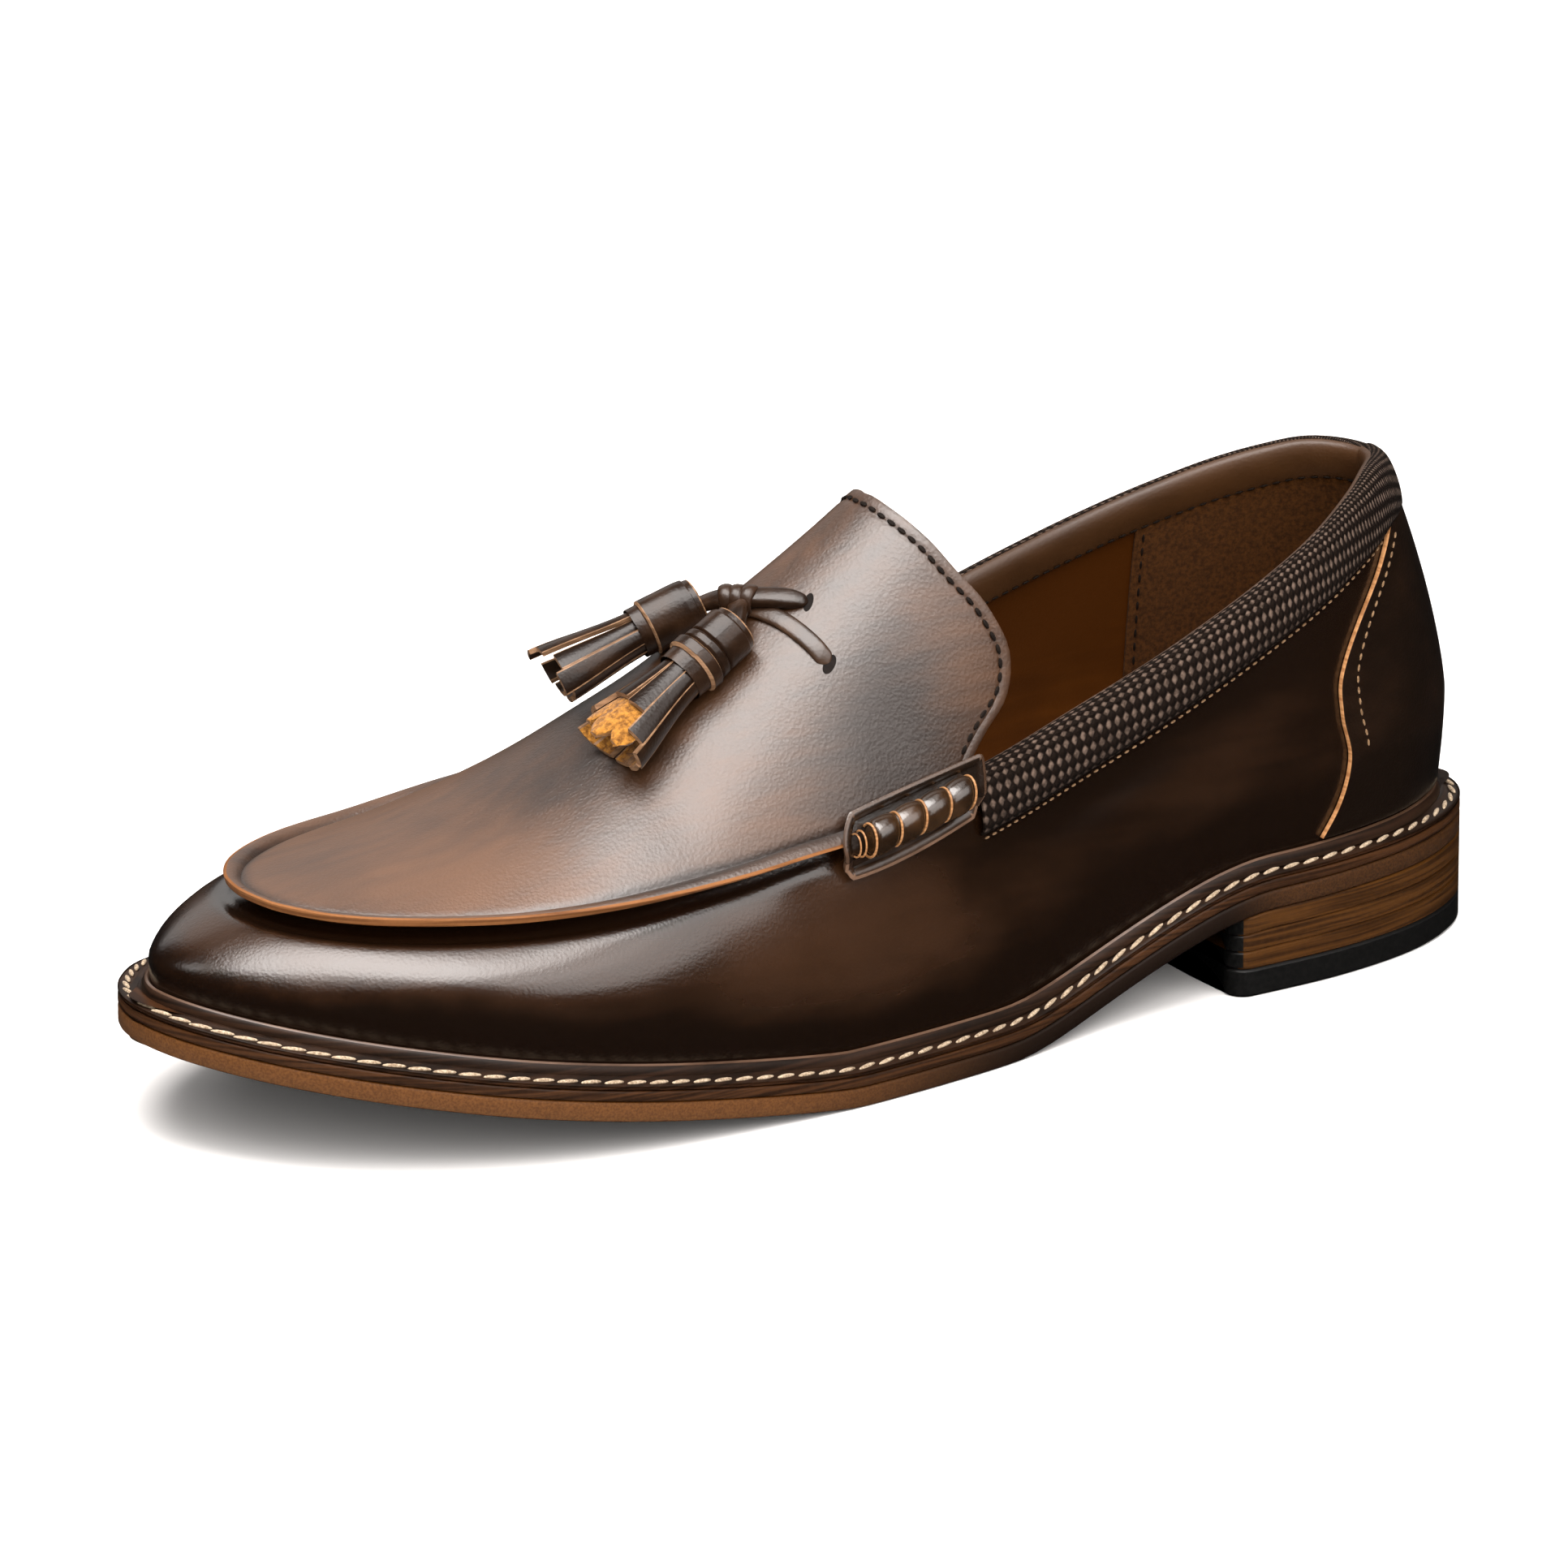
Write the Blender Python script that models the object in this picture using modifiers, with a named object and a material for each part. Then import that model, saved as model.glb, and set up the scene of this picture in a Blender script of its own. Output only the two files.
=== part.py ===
"""Left tassel loafer: a lasted upper with apron and trims, on a welted sole with a stacked heel.

Lengths are in millimetres until a piece is placed. x runs from the back of the heel to the tip
of the toe, y to the wearer's left, which is the outer side of this shoe, and z up from the floor.
"""
from collections import namedtuple
from functools import lru_cache
import math

import bmesh
import bpy
import numpy as np

NAME = "tassel_loafer"
MM = 0.001
FIT = 0.3
OVERLAY_FIT = 0.4

# Sole and heel
SOLE_LENGTH = 300.0
FOOTPRINT_MIDDLE = 1.05
HEEL_LENGTH = 71.0
SEAT_HEIGHT = 17.4
SEAT_TILT = 1.3
ARCH_START = 60.0
ARCH_END = 130.0
TOE_SPRING = 21.2
SPRING_START = 168.0
SPRING_POWER = 1.15
OUTSOLE_THICK = 4.0
MIDSOLE_THICK = 2.0
WELT_THICK = 1.8
RIB_HEIGHT = 2.2
RIB_WIDTH = 1.5
INSOLE_THICK = 3.6
TOP_LIFT_THICK = 6.0
LIFT_COUNT = 3
EDGE_ROUND = 0.6

# Upper
UPPER_HEEL = 5.0
UPPER_TOE = 294.5
WALL = 1.8
TOE_ROLL_START = 236.0
HEEL_ROLL_START = 48.0
TONGUE_X = 136.0
TOE_FAN_START = 205.0
TOE_FAN_REACH = 32.0
HEEL_FAN_START = 70.0
HEEL_FAN_REACH = 22.0

# Trims laid on the upper
APRON_THICK = 1.2
APRON_OVERHANG = 1.0
COUNTER_THICK = 1.0
BAND_THICK = 1.3
BAND_HEIGHT = 12.5
TAB_THICK = 1.2
TAB_ROLL = 3.2
TAB_START = 133.0
TAB_END = 168.0
TAB_HALF_HEIGHT = 6.8
TAB_STITCHES = 4

# Tassels
STRIP_COUNT = 10
STRAP_WIDTH = 3.6
STRAP_THICK = 1.6

# Mesh fineness
RING_STATIONS = 60
FRONT_STATIONS = 22
REAR_STATIONS = 36
PROFILE_POINTS = 140
WALL_ROWS = (0.0, 0.12, 0.3, 0.5, 0.7, 0.86, 1.0)
CROWN_ROWS = (0.1, 0.2, 0.31, 0.43, 0.58, 0.78, 1.0)

# Outer edge of the sole, seen from above
Outline = namedtuple("Outline", "x outer inner")
SOLE_OUTLINE = (
    Outline(0, 0.0, 0.0),
    Outline(9, 17.0, -17.0),
    Outline(24, 26.0, -26.0),
    Outline(45, 31.5, -31.0),
    Outline(75, 34.0, -33.0),
    Outline(105, 37.2, -32.0),
    Outline(135, 45.0, -33.0),
    Outline(165, 50.2, -39.0),
    Outline(195, 52.8, -47.0),
    Outline(216, 53.4, -51.0),
    Outline(240, 50.5, -50.5),
    Outline(264, 41.5, -44.0),
    Outline(282, 29.5, -34.0),
    Outline(294, 15.5, -20.5),
    Outline(300, -3.5, -3.5),
)

# Sections across the last: inset of the upper from the sole's edge, swell of its widest line and
# that line's height above the welt, the ridge's height and place, and how full flank and crown are
Section = namedtuple("Section", "x inset swell widest ridge ridge_y flank crown")
SECTIONS = (
    Section(0, 4.0, 1.5, 22.0, 130.0, 0.0, 2.00, 1.30),
    Section(45, 4.0, 2.0, 20.0, 135.0, 0.0, 2.00, 1.30),
    Section(80, 4.3, 2.0, 19.0, 140.0, 0.5, 2.00, 1.35),
    Section(110, 4.6, 1.2, 18.0, 128.0, 1.0, 2.00, 1.45),
    Section(135, 5.0, 0.2, 17.0, 109.0, 2.0, 2.00, 1.55),
    Section(160, 5.3, 0.5, 16.0, 91.5, 2.0, 2.00, 1.65),
    Section(185, 5.6, 1.4, 15.0, 75.5, 1.5, 2.00, 1.70),
    Section(210, 5.8, 2.0, 14.0, 60.5, 1.0, 2.05, 1.75),
    Section(235, 6.0, 1.6, 13.0, 51.5, 0.0, 2.10, 1.80),
    Section(258, 6.3, 1.2, 12.0, 49.0, -1.5, 2.10, 1.85),
    Section(280, 6.6, 0.8, 7.0, 50.5, -3.0, 2.10, 1.60),
    Section(300, 7.0, 0.4, 5.0, 52.0, -3.5, 2.10, 1.50),
)

# Height of the collar's top edge above the floor
Collar = namedtuple("Collar", "x outer inner")
COLLAR = (
    Collar(12, 97.5, 97.5),
    Collar(20, 99.5, 99.0),
    Collar(27, 99.5, 98.8),
    Collar(34, 96.5, 97.0),
    Collar(47, 90.0, 93.6),
    Collar(60, 84.0, 90.0),
    Collar(80, 75.5, 84.3),
    Collar(100, 68.0, 79.0),
    Collar(120, 62.0, 73.0),
    Collar(140, 57.5, 67.5),
)

# Length of the wall from the welt up to the apron's seam
Seam = namedtuple("Seam", "x outer inner")
APRON_SEAM = (
    Seam(160, 45.0, 51.0),
    Seam(175, 42.3, 46.0),
    Seam(190, 38.9, 41.2),
    Seam(205, 35.9, 37.4),
    Seam(220, 33.3, 34.4),
    Seam(235, 31.2, 31.8),
    Seam(250, 29.3, 29.7),
    Seam(262, 27.7, 28.1),
    Seam(272, 26.4, 26.8),
    Seam(280, 25.9, 26.3),
    Seam(286, 26.2, 26.4),
    Seam(290, 26.7, 26.8),
    Seam(294.5, 28.1, 28.1),
)

# How far the tongue's free edge swings forward, by its share of the way in from the widest line
Tongue = namedtuple("Tongue", "inward forward")
TONGUE_EDGE = (
    Tongue(0.00, 0.0),
    Tongue(0.14, 0.0),
    Tongue(0.20, -5.5),
    Tongue(0.25, -11.0),
    Tongue(0.31, -13.3),
    Tongue(0.38, -10.8),
    Tongue(0.48, -6.0),
    Tongue(0.60, -2.7),
    Tongue(0.80, 0.8),
    Tongue(1.00, 2.0),
)
TONGUE_REACH = 26.0

# Front edge of the heel counter, by its share of the way up
Counter = namedtuple("Counter", "up x")
COUNTER_EDGE = (
    Counter(0.00, 48.0),
    Counter(0.12, 44.5),
    Counter(0.30, 42.2),
    Counter(0.50, 43.8),
    Counter(0.65, 43.0),
    Counter(0.80, 36.0),
    Counter(0.92, 25.0),
    Counter(1.00, 17.0),
)
COUNTER_BELOW_BAND = 2.5
COUNTER_FOOT = RIB_HEIGHT + 0.5

# Each tassel's outline along its length: distance, radius and depth of the gaps between strips
Tassel = namedtuple("Tassel", "along radius gap")
TASSEL_FORM = (
    Tassel(0.00, 2.0, 0.0),
    Tassel(0.03, 3.6, 0.0),
    Tassel(0.16, 4.2, 0.0),
    Tassel(0.30, 4.4, 0.0),
    Tassel(0.33, 4.9, 0.0),
    Tassel(0.39, 4.9, 0.0),
    Tassel(0.42, 4.5, 0.05),
    Tassel(0.55, 5.4, 0.22),
    Tassel(0.78, 6.8, 0.34),
    Tassel(1.00, 8.0, 0.40),
)
TASSEL_FLATNESS = 0.54
OUTER_TASSEL = ((173.0, 11.5, 88.8), (205.5, 15.0, 70.0))
INNER_TASSEL = ((171.5, -6.5, 88.5), (201.5, -12.5, 76.0))
KNOT_PLACE = (166.0, 3.0)
KNOT_SIZE = (7.0, 9.0, 5.5)
STRAP_ENDS = ((157.5, 12.5), (159.5, 23.0))

COLOURS = {
    "burnished": (0.085, 0.042, 0.024, 1.0),
    "woven": (0.16, 0.13, 0.11, 1.0),
    "edge_brown": (0.11, 0.055, 0.03, 1.0),
    "tan": (0.42, 0.24, 0.12, 1.0),
    "rubber": (0.015, 0.014, 0.014, 1.0),
    "lining": (0.30, 0.17, 0.085, 1.0),
}


def curve_through(stations, values, at):
    """Smooth curve through table values, read at one place or many."""
    stations = np.asarray(stations, float)
    values = np.asarray(values, float)
    at = np.asarray(at, float)
    gap = np.diff(stations)
    slope = np.diff(values) / gap
    lean = np.empty_like(values)
    lean[1:-1] = (slope[:-1] * gap[1:] + slope[1:] * gap[:-1]) / (gap[1:] + gap[:-1])
    lean[0] = slope[0]
    lean[-1] = slope[-1]
    row = np.clip(np.searchsorted(stations, at, side="right") - 1, 0, len(gap) - 1)
    t = np.clip((at - stations[row]) / gap[row], 0.0, 1.0)
    start = (1 + 2 * t) * (1 - t) ** 2 * values[row] + t * (1 - t) ** 2 * gap[row] * lean[row]
    end = t * t * (3 - 2 * t) * values[row + 1] + t * t * (t - 1) * gap[row] * lean[row + 1]
    return start + end


def column(table, name, x):
    """One named column of a table, read along x."""
    return curve_through([row.x for row in table], [getattr(row, name) for row in table], x)


def turn(x):
    """Angle from 0 at the heel to pi at the toe, which keeps both ends of an outline round."""
    return np.arccos(np.clip(1 - 2 * np.asarray(x, float) / SOLE_LENGTH, -1, 1))


def sole_edge(x, side):
    """Sideways place of the sole's edge."""
    angles = turn([row.x for row in SOLE_OUTLINE])
    edge = [row.outer if side > 0 else row.inner for row in SOLE_OUTLINE]
    return curve_through(angles, edge, turn(x))


def sole_bottom(x):
    """Underside of the outsole: raised seat, fall of the arch, flat tread and toe spring."""
    x = np.asarray(x, float)
    fall = np.clip((x - ARCH_START) / (ARCH_END - ARCH_START), 0, 1)
    seat = SEAT_HEIGHT * (1 - fall * fall * (3 - 2 * fall))
    tilt = SEAT_TILT * np.clip(1 - x / HEEL_LENGTH, 0, 1)
    rise = np.clip((x - SPRING_START) / (SOLE_LENGTH - SPRING_START), 0, 1)
    return seat + tilt + TOE_SPRING * rise ** SPRING_POWER


MIDSOLE_BASE = OUTSOLE_THICK + FIT
WELT_BASE = MIDSOLE_BASE + MIDSOLE_THICK + FIT
WELT_TOP = WELT_BASE + WELT_THICK
FEATHER = WELT_TOP + OVERLAY_FIT


def feather_height(x):
    """Height at which the upper meets the welt."""
    return sole_bottom(x) + FEATHER


def on_sole(x):
    """The place on the sole's outline that belongs to a place on the upper's outline."""
    return (np.asarray(x, float) - UPPER_HEEL) / (UPPER_TOE - UPPER_HEEL) * SOLE_LENGTH


def ridge_line(x):
    """Sideways place of the upper's ridge, drawn to the middle at toe and heel."""
    along = on_sole(x)
    middle = (sole_edge(along, 1) + sole_edge(along, -1)) / 2
    keep = np.clip(np.minimum(along, SOLE_LENGTH - along) / 30, 0, 1)
    return keep * column(SECTIONS, "ridge_y", x) + (1 - keep) * middle


def half_width(x, side):
    """From the ridge out to the upper's widest line on one side."""
    along = on_sole(x)
    reach = side * (sole_edge(along, side) - ridge_line(x))
    inset = column(SECTIONS, "inset", x) - column(SECTIONS, "swell", x)
    return np.maximum(reach - inset * np.sqrt(np.sin(turn(along))), 0.0)


def ridge_height(x):
    """Height of the ridge, rolled down at the toe and at the back of the heel."""
    x = np.asarray(x, float)
    widest = feather_height(x) + column(SECTIONS, "widest", x)
    toe = np.clip((x - TOE_ROLL_START) / (UPPER_TOE - TOE_ROLL_START), 0, 1)
    heel = np.clip((HEEL_ROLL_START - x) / (HEEL_ROLL_START - UPPER_HEEL), 0, 1)
    roll = (1 - toe ** 2.2) ** (1 / 1.45) * (1 - heel ** 1.7) ** (1 / 1.3)
    return widest + (column(SECTIONS, "ridge", x) - widest) * roll


def crown_height(x, y):
    """Height of the upper over a point inside its widest line."""
    ridge = ridge_line(x)
    width = np.where(y >= ridge, half_width(x, 1), half_width(x, -1))
    across = np.clip(np.abs(y - ridge) / np.maximum(width, 1e-6), 0, 1)
    widest = feather_height(x) + column(SECTIONS, "widest", x)
    fullness = (1 - across ** column(SECTIONS, "flank", x)) ** (1 / column(SECTIONS, "crown", x))
    return widest + (ridge_height(x) - widest) * fullness


def station_at(t):
    """Place along the shoe and side for t: 0 toe tip, 1 back of the heel, 2 toe tip again."""
    t = t % 2.0
    side = 1 if t <= 1 else -1
    angle = math.pi * (1 - t) if side > 0 else math.pi * (t - 1)
    return (1 - math.cos(angle)) / 2, side


def station_of(x, side):
    """The t of a place on the upper's outline."""
    angle = math.acos(1 - 2 * (x - UPPER_HEEL) / (UPPER_TOE - UPPER_HEEL))
    return 1 - angle / math.pi if side > 0 else 1 + angle / math.pi


def spine_place(x):
    """Where the section from an outline point reaches the ridge: fans in at toe and heel."""
    toe = max(x - TOE_FAN_START, 0.0)
    heel = max(HEEL_FAN_START - x, 0.0)
    pulled = x - toe + TOE_FAN_REACH * (1 - math.exp(-toe / TOE_FAN_REACH))
    return pulled + heel - HEEL_FAN_REACH * (1 - math.exp(-heel / HEEL_FAN_REACH))


@lru_cache(maxsize=None)
def section_line(t):
    """Points from the welt up the wall and over to the ridge, with the length walked to each."""
    along, side = station_at(t)
    x = UPPER_HEEL + (UPPER_TOE - UPPER_HEEL) * along
    edge = np.array([x, float(ridge_line(x) + side * half_width(x, side))])
    spine_x = spine_place(x)
    spine = np.array([spine_x, float(ridge_line(spine_x))])
    inward = (spine - edge) / (np.linalg.norm(spine - edge) + 1e-9)
    angle = np.linspace(0, math.pi / 2, 9)[:-1]
    tuck = float(column(SECTIONS, "swell", x)) * (1 - np.sin(angle))
    rise = float(column(SECTIONS, "widest", x)) * angle / (math.pi / 2)
    low_plan = edge + tuck[:, None] * inward
    low = np.column_stack([low_plan, feather_height(x) + rise])
    step = np.linspace(0, 1, PROFILE_POINTS) ** 2.4
    plan = edge + step[:, None] * (spine - edge)
    swing = curve_through(*zip(*TONGUE_EDGE), step)
    plan[:, 0] += swing * math.exp(-((x - TONGUE_X) / TONGUE_REACH) ** 2)
    high = np.column_stack([plan, crown_height(plan[:, 0], plan[:, 1])])
    line = np.vstack([low, high])
    length = np.concatenate([[0.0], np.cumsum(np.linalg.norm(np.diff(line, axis=0), axis=1))])
    return line, length


def on_upper(t, length):
    """The upper's outer face at a station, a given length up from the welt."""
    line, walked = section_line(t)
    return [float(np.interp(length, walked, line[:, axis])) for axis in range(3)]


@lru_cache(maxsize=None)
def collar_length(t):
    """Length of the wall from the welt to the collar's top edge."""
    line, walked = section_line(t)
    side = station_at(t)[1]
    top = column(COLLAR, "outer" if side > 0 else "inner", line[:, 0])
    over = int(np.argmax(line[:, 2] > top))
    below, above = line[over - 1, 2] - top[over - 1], line[over, 2] - top[over]
    return float(walked[over - 1] + (walked[over] - walked[over - 1]) * below / (below - above))


@lru_cache(maxsize=None)
def seam_length(t):
    """Length of the wall from the welt to the apron's seam, which runs into the collar's edge."""
    along, side = station_at(t)
    x = UPPER_HEEL + (UPPER_TOE - UPPER_HEEL) * along
    name = "outer" if side > 0 else "inner"
    tongue = collar_length(station_of(TONGUE_X, side))
    places = [TONGUE_X] + [row.x for row in APRON_SEAM]
    lengths = [tongue] + [getattr(row, name) for row in APRON_SEAM]
    return float(curve_through(places, lengths, x))


def front_stations(side):
    """Stations from the toe tip back to the tongue's edge."""
    last = station_of(TONGUE_X, side)
    first = 0.0 if side > 0 else 2.0
    return [first + (last - first) * k / FRONT_STATIONS for k in range(FRONT_STATIONS + 1)]


def rear_stations():
    """Stations from the tongue's edge round the heel to the other side."""
    first, last = station_of(TONGUE_X, 1), station_of(TONGUE_X, -1)
    return [first + (last - first) * k / REAR_STATIONS for k in range(REAR_STATIONS + 1)]


class Sheet:
    """A surface gathered from points that are shared where they meet."""

    def __init__(self):
        self.points = []
        self.faces = []
        self.known = {}

    def point(self, place):
        key = tuple(round(value, 4) for value in place)
        if key not in self.known:
            self.known[key] = len(self.points)
            self.points.append(place)
        return self.known[key]

    def patch(self, rows):
        """Quads between neighbouring rows of places, leaving out any that close up."""
        index = [[self.point(place) for place in row] for row in rows]
        for row, following in zip(index, index[1:]):
            for k in range(len(row) - 1):
                corners = [row[k], row[k + 1], following[k + 1], following[k]]
                face = list(dict.fromkeys(corners))
                if len(face) > 2:
                    self.faces.append(face)


def crown_patch(sheet, start_offset):
    """The top of the forepart, from the seam over the ridge, on both sides."""
    for side in (1, -1):
        rows = []
        for t in front_stations(side):
            seam = seam_length(t)
            whole = float(section_line(t)[1][-1])
            lengths = [seam + start_offset] + [seam + (whole - seam) * part for part in CROWN_ROWS]
            rows.append([on_upper(t, length) for length in lengths])
        sheet.patch(rows)


def upper_sheet():
    """Outer face of the upper: walls all round, and the forepart over the toes and instep."""
    sheet = Sheet()
    for stations, top in (
        (front_stations(1), seam_length),
        (front_stations(-1), seam_length),
        (rear_stations(), collar_length),
    ):
        sheet.patch([[on_upper(t, top(t) * part) for part in WALL_ROWS] for t in stations])
    crown_patch(sheet, 0.0)
    return sheet


def apron_sheet():
    """Apron and tongue in one, reaching a little past the seam."""
    sheet = Sheet()
    crown_patch(sheet, -APRON_OVERHANG)
    return sheet


def counter_sheet():
    """Heel counter, its front edge an S from the welt up to the collar band."""
    sheet = Sheet()
    rows = []
    for part in np.linspace(0, 1, 12):
        front = float(curve_through(*zip(*COUNTER_EDGE), part))
        first, last = station_of(front, 1), station_of(front, -1)
        row = []
        for t in np.linspace(first, last, 25):
            top = collar_length(t) - BAND_HEIGHT - COUNTER_BELOW_BAND
            row.append(on_upper(t, COUNTER_FOOT + (top - COUNTER_FOOT) * part))
        rows.append(row)
    sheet.patch(rows)
    return sheet


def band_sheet():
    """Woven band round the collar, from tab to tab."""
    sheet = Sheet()
    first, last = station_of(TAB_START - 1.0, 1), station_of(TAB_START - 1.0, -1)
    stations = np.linspace(first, last, REAR_STATIONS - 2)
    rows = []
    for down in np.linspace(BAND_HEIGHT, 0.2, 4):
        rows.append([on_upper(t, collar_length(t) - down) for t in stations])
    sheet.patch(rows)
    return sheet


def tab_sheet(side):
    """Tab over the seam where apron and collar meet; also where across it each point lies."""
    sheet = Sheet()
    across_of = []
    rows = []
    for x in np.linspace(TAB_START, TAB_END, 3 * TAB_STITCHES + 1):
        end = min(x - TAB_START, TAB_END - x) / 4
        half = TAB_HALF_HEIGHT * (0.72 + 0.28 * min(1.0, end))
        t = station_of(x, side)
        middle = seam_length(t) if x > TONGUE_X else collar_length(t)
        row = []
        for across in np.linspace(-1, 1, 8):
            row.append(on_upper(t, middle - 1.5 + half * across))
            across_of.append((across, (x - TAB_START) / (TAB_END - TAB_START)))
        rows.append(row)
    sheet.patch(rows)
    return sheet, across_of


def outline_ring(place, stations=RING_STATIONS):
    """Plan points round the shoe and their outward directions; place gives x and y at t."""
    t = np.arange(stations) * 2.0 / stations
    points = np.array([place(value) for value in t])
    ahead = np.roll(points, -1, axis=0) - np.roll(points, 1, axis=0)
    outward = np.column_stack([-ahead[:, 1], ahead[:, 0]])
    outward /= np.linalg.norm(outward, axis=1)[:, None]
    facing = np.sum(outward * (points - points.mean(axis=0)), axis=1).sum()
    return points, outward if facing > 0 else -outward


def sole_plan(t):
    """The sole's edge at a station."""
    along, side = station_at(t)
    x = along * SOLE_LENGTH
    return x, float(sole_edge(x, side))


def feather_plan(t):
    """The upper's foot at a station."""
    return on_upper(t, 0.0)[:2]


def ring_at(base, outward, height):
    """A level ring moved out from its base and raised over the sole's underside."""
    points, direction = base
    plan = points + direction * outward
    return [[x, y, float(sole_bottom(x)) + height] for x, y in plan]


def loft(rings, closed):
    """Sides between rings; the last joins the first again, or both ends are closed by rungs."""
    count = len(rings[0])
    points = [place for ring in rings for place in ring]
    faces = []
    for level in range(len(rings) if closed else len(rings) - 1):
        low, high = level * count, (level + 1) % len(rings) * count
        for k in range(count):
            after = (k + 1) % count
            faces.append([low + k, low + after, high + after, high + k])
    if not closed:
        for start in (0, (len(rings) - 1) * count):
            for k in range(count // 2):
                corners = [start + k, start + k + 1, start + count - k - 1, start + (count - k) % count]
                face = list(dict.fromkeys(corners))
                if len(face) > 2:
                    faces.append(face)
    return points, faces


def plate(base, low, high, rounding):
    """A layer of the sole between two heights, its edge rounded."""
    rings = [
        ring_at(base, -rounding, low),
        ring_at(base, 0.0, low + rounding),
        ring_at(base, 0.0, high - rounding),
        ring_at(base, -rounding, high),
    ]
    return loft(rings, False)


def welt_form():
    """Welt: a strip at the sole's edge with a rib that stands against the foot of the upper."""
    edge = outline_ring(sole_plan)
    foot = outline_ring(feather_plan)
    clear = FIT + 0.35
    rings = [
        ring_at(edge, 0.0, WELT_BASE),
        ring_at(edge, 0.0, WELT_TOP - 0.4),
        ring_at(edge, -0.4, WELT_TOP),
        ring_at(foot, clear + RIB_WIDTH, WELT_TOP),
        ring_at(foot, clear + RIB_WIDTH - 0.3, WELT_TOP + RIB_HEIGHT * 0.7),
        ring_at(foot, clear + 0.35, WELT_TOP + RIB_HEIGHT),
        ring_at(foot, clear, WELT_TOP + RIB_HEIGHT * 0.6),
        ring_at(foot, clear, WELT_TOP),
        ring_at(foot, -WALL - 0.2, WELT_TOP),
        ring_at(foot, -WALL - 0.2, WELT_BASE),
    ]
    return loft(rings, True)


def heel_block(low, high):
    """One lift of the heel, on the sole's outline behind a straight breast."""
    angle = np.linspace(0.0, math.acos(1 - 2 * HEEL_LENGTH / SOLE_LENGTH), 15)
    x = SOLE_LENGTH * (1 - np.cos(angle)) / 2
    outer = list(zip(x, sole_edge(x, 1)))
    inner = list(zip(x, sole_edge(x, -1)))
    plan = outer + inner[:0:-1]
    return loft([[[px, py, height(px)] for px, py in plan] for height in (low, high)], False)


def lift_level(part):
    """Height of a level in the stack, from the top-lift (0) to the outsole's underside (1)."""
    return lambda x: TOP_LIFT_THICK + (float(sole_bottom(x)) - TOP_LIFT_THICK) * part


def tassel_form(start, end):
    """Tassel lying along a line: a wrapped cap, then strips that spread and part."""
    start, end = np.array(start), np.array(end)
    axis = (end - start) / np.linalg.norm(end - start)
    across = np.cross([0, 0, 1], axis)
    across /= np.linalg.norm(across)
    up = np.cross(axis, across)
    sides = STRIP_COUNT * 3
    points = []
    for row in TASSEL_FORM:
        middle = start + (end - start) * row.along
        flat = 1 - (1 - TASSEL_FLATNESS) * np.clip((row.along - 0.4) / 0.4, 0, 1)
        for k in range(sides):
            angle = 2 * math.pi * k / sides
            radius = row.radius * (1 - row.gap * (k % 3 == 0))
            points.append(middle + radius * (math.cos(angle) * across + math.sin(angle) * flat * up))
    faces = []
    for level in range(len(TASSEL_FORM) - 1):
        low, high = level * sides, (level + 1) * sides
        faces += [[low + k, low + (k + 1) % sides, high + (k + 1) % sides, high + k] for k in range(sides)]
    faces.append(list(range(sides))[::-1])
    last = (len(TASSEL_FORM) - 1) * sides
    points.append(start + (end - start) * 0.96)
    tip = len(points) - 1
    faces += [[last + k, last + (k + 1) % sides, tip] for k in range(sides)]
    return points, faces


def material_of(name):
    """Plain leather, rubber or cloth colour."""
    material = bpy.data.materials.get(name) or bpy.data.materials.new(name)
    material.use_nodes = True
    shader = material.node_tree.nodes["Principled BSDF"]
    shader.inputs["Base Color"].default_value = COLOURS[name]
    shader.inputs["Roughness"].default_value = 0.5
    return material


def placed(place):
    """Millimetres on the shoe to metres about the middle of its footprint."""
    x, y, z = place
    return ((x - SOLE_LENGTH / 2) * MM, (y - FOOTPRINT_MIDDLE) * MM, z * MM)


def make_piece(collection, name, form, colour):
    """One named solid or sheet from points and faces."""
    points, faces = form
    mesh = bpy.data.meshes.new(name)
    mesh.from_pydata([placed(place) for place in points], [], faces)
    shape = bmesh.new()
    shape.from_mesh(mesh)
    bmesh.ops.recalc_face_normals(shape, faces=shape.faces)
    shape.to_mesh(mesh)
    shape.free()
    mesh.materials.append(material_of(colour))
    piece = bpy.data.objects.new(name, mesh)
    collection.objects.link(piece)
    return piece


def face_outward(piece):
    """Turns a sheet's faces to point away from the inside of the shoe."""
    shape = bmesh.new()
    shape.from_mesh(piece.data)
    inside = np.array(placed((SOLE_LENGTH / 2, 0.0, 30.0)))
    score = sum(np.dot(np.array(f.calc_center_median()) - inside, f.normal) for f in shape.faces)
    if score < 0:
        bmesh.ops.reverse_faces(shape, faces=shape.faces)
    shape.to_mesh(piece.data)
    shape.free()


def lift_off(piece, distance, group=""):
    """Stands a sheet off the upper along its own normals."""
    move = piece.modifiers.new("stand off", "DISPLACE")
    move.strength = distance * MM
    move.mid_level = 0.0
    move.vertex_group = group


def thicken(piece, thickness, outward, group=""):
    """Gives a sheet real thickness, outward or inward."""
    wall = piece.modifiers.new("thickness", "SOLIDIFY")
    wall.thickness = thickness * MM
    wall.offset = 1.0 if outward else -1.0
    wall.use_quality_normals = True
    wall.vertex_group = group


def make_overlay(collection, name, sheet, thickness, colour):
    """A trim laid on the upper with a small gap."""
    piece = make_piece(collection, name, (sheet.points, sheet.faces), colour)
    face_outward(piece)
    lift_off(piece, OVERLAY_FIT)
    thicken(piece, thickness, True)
    return piece


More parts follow.
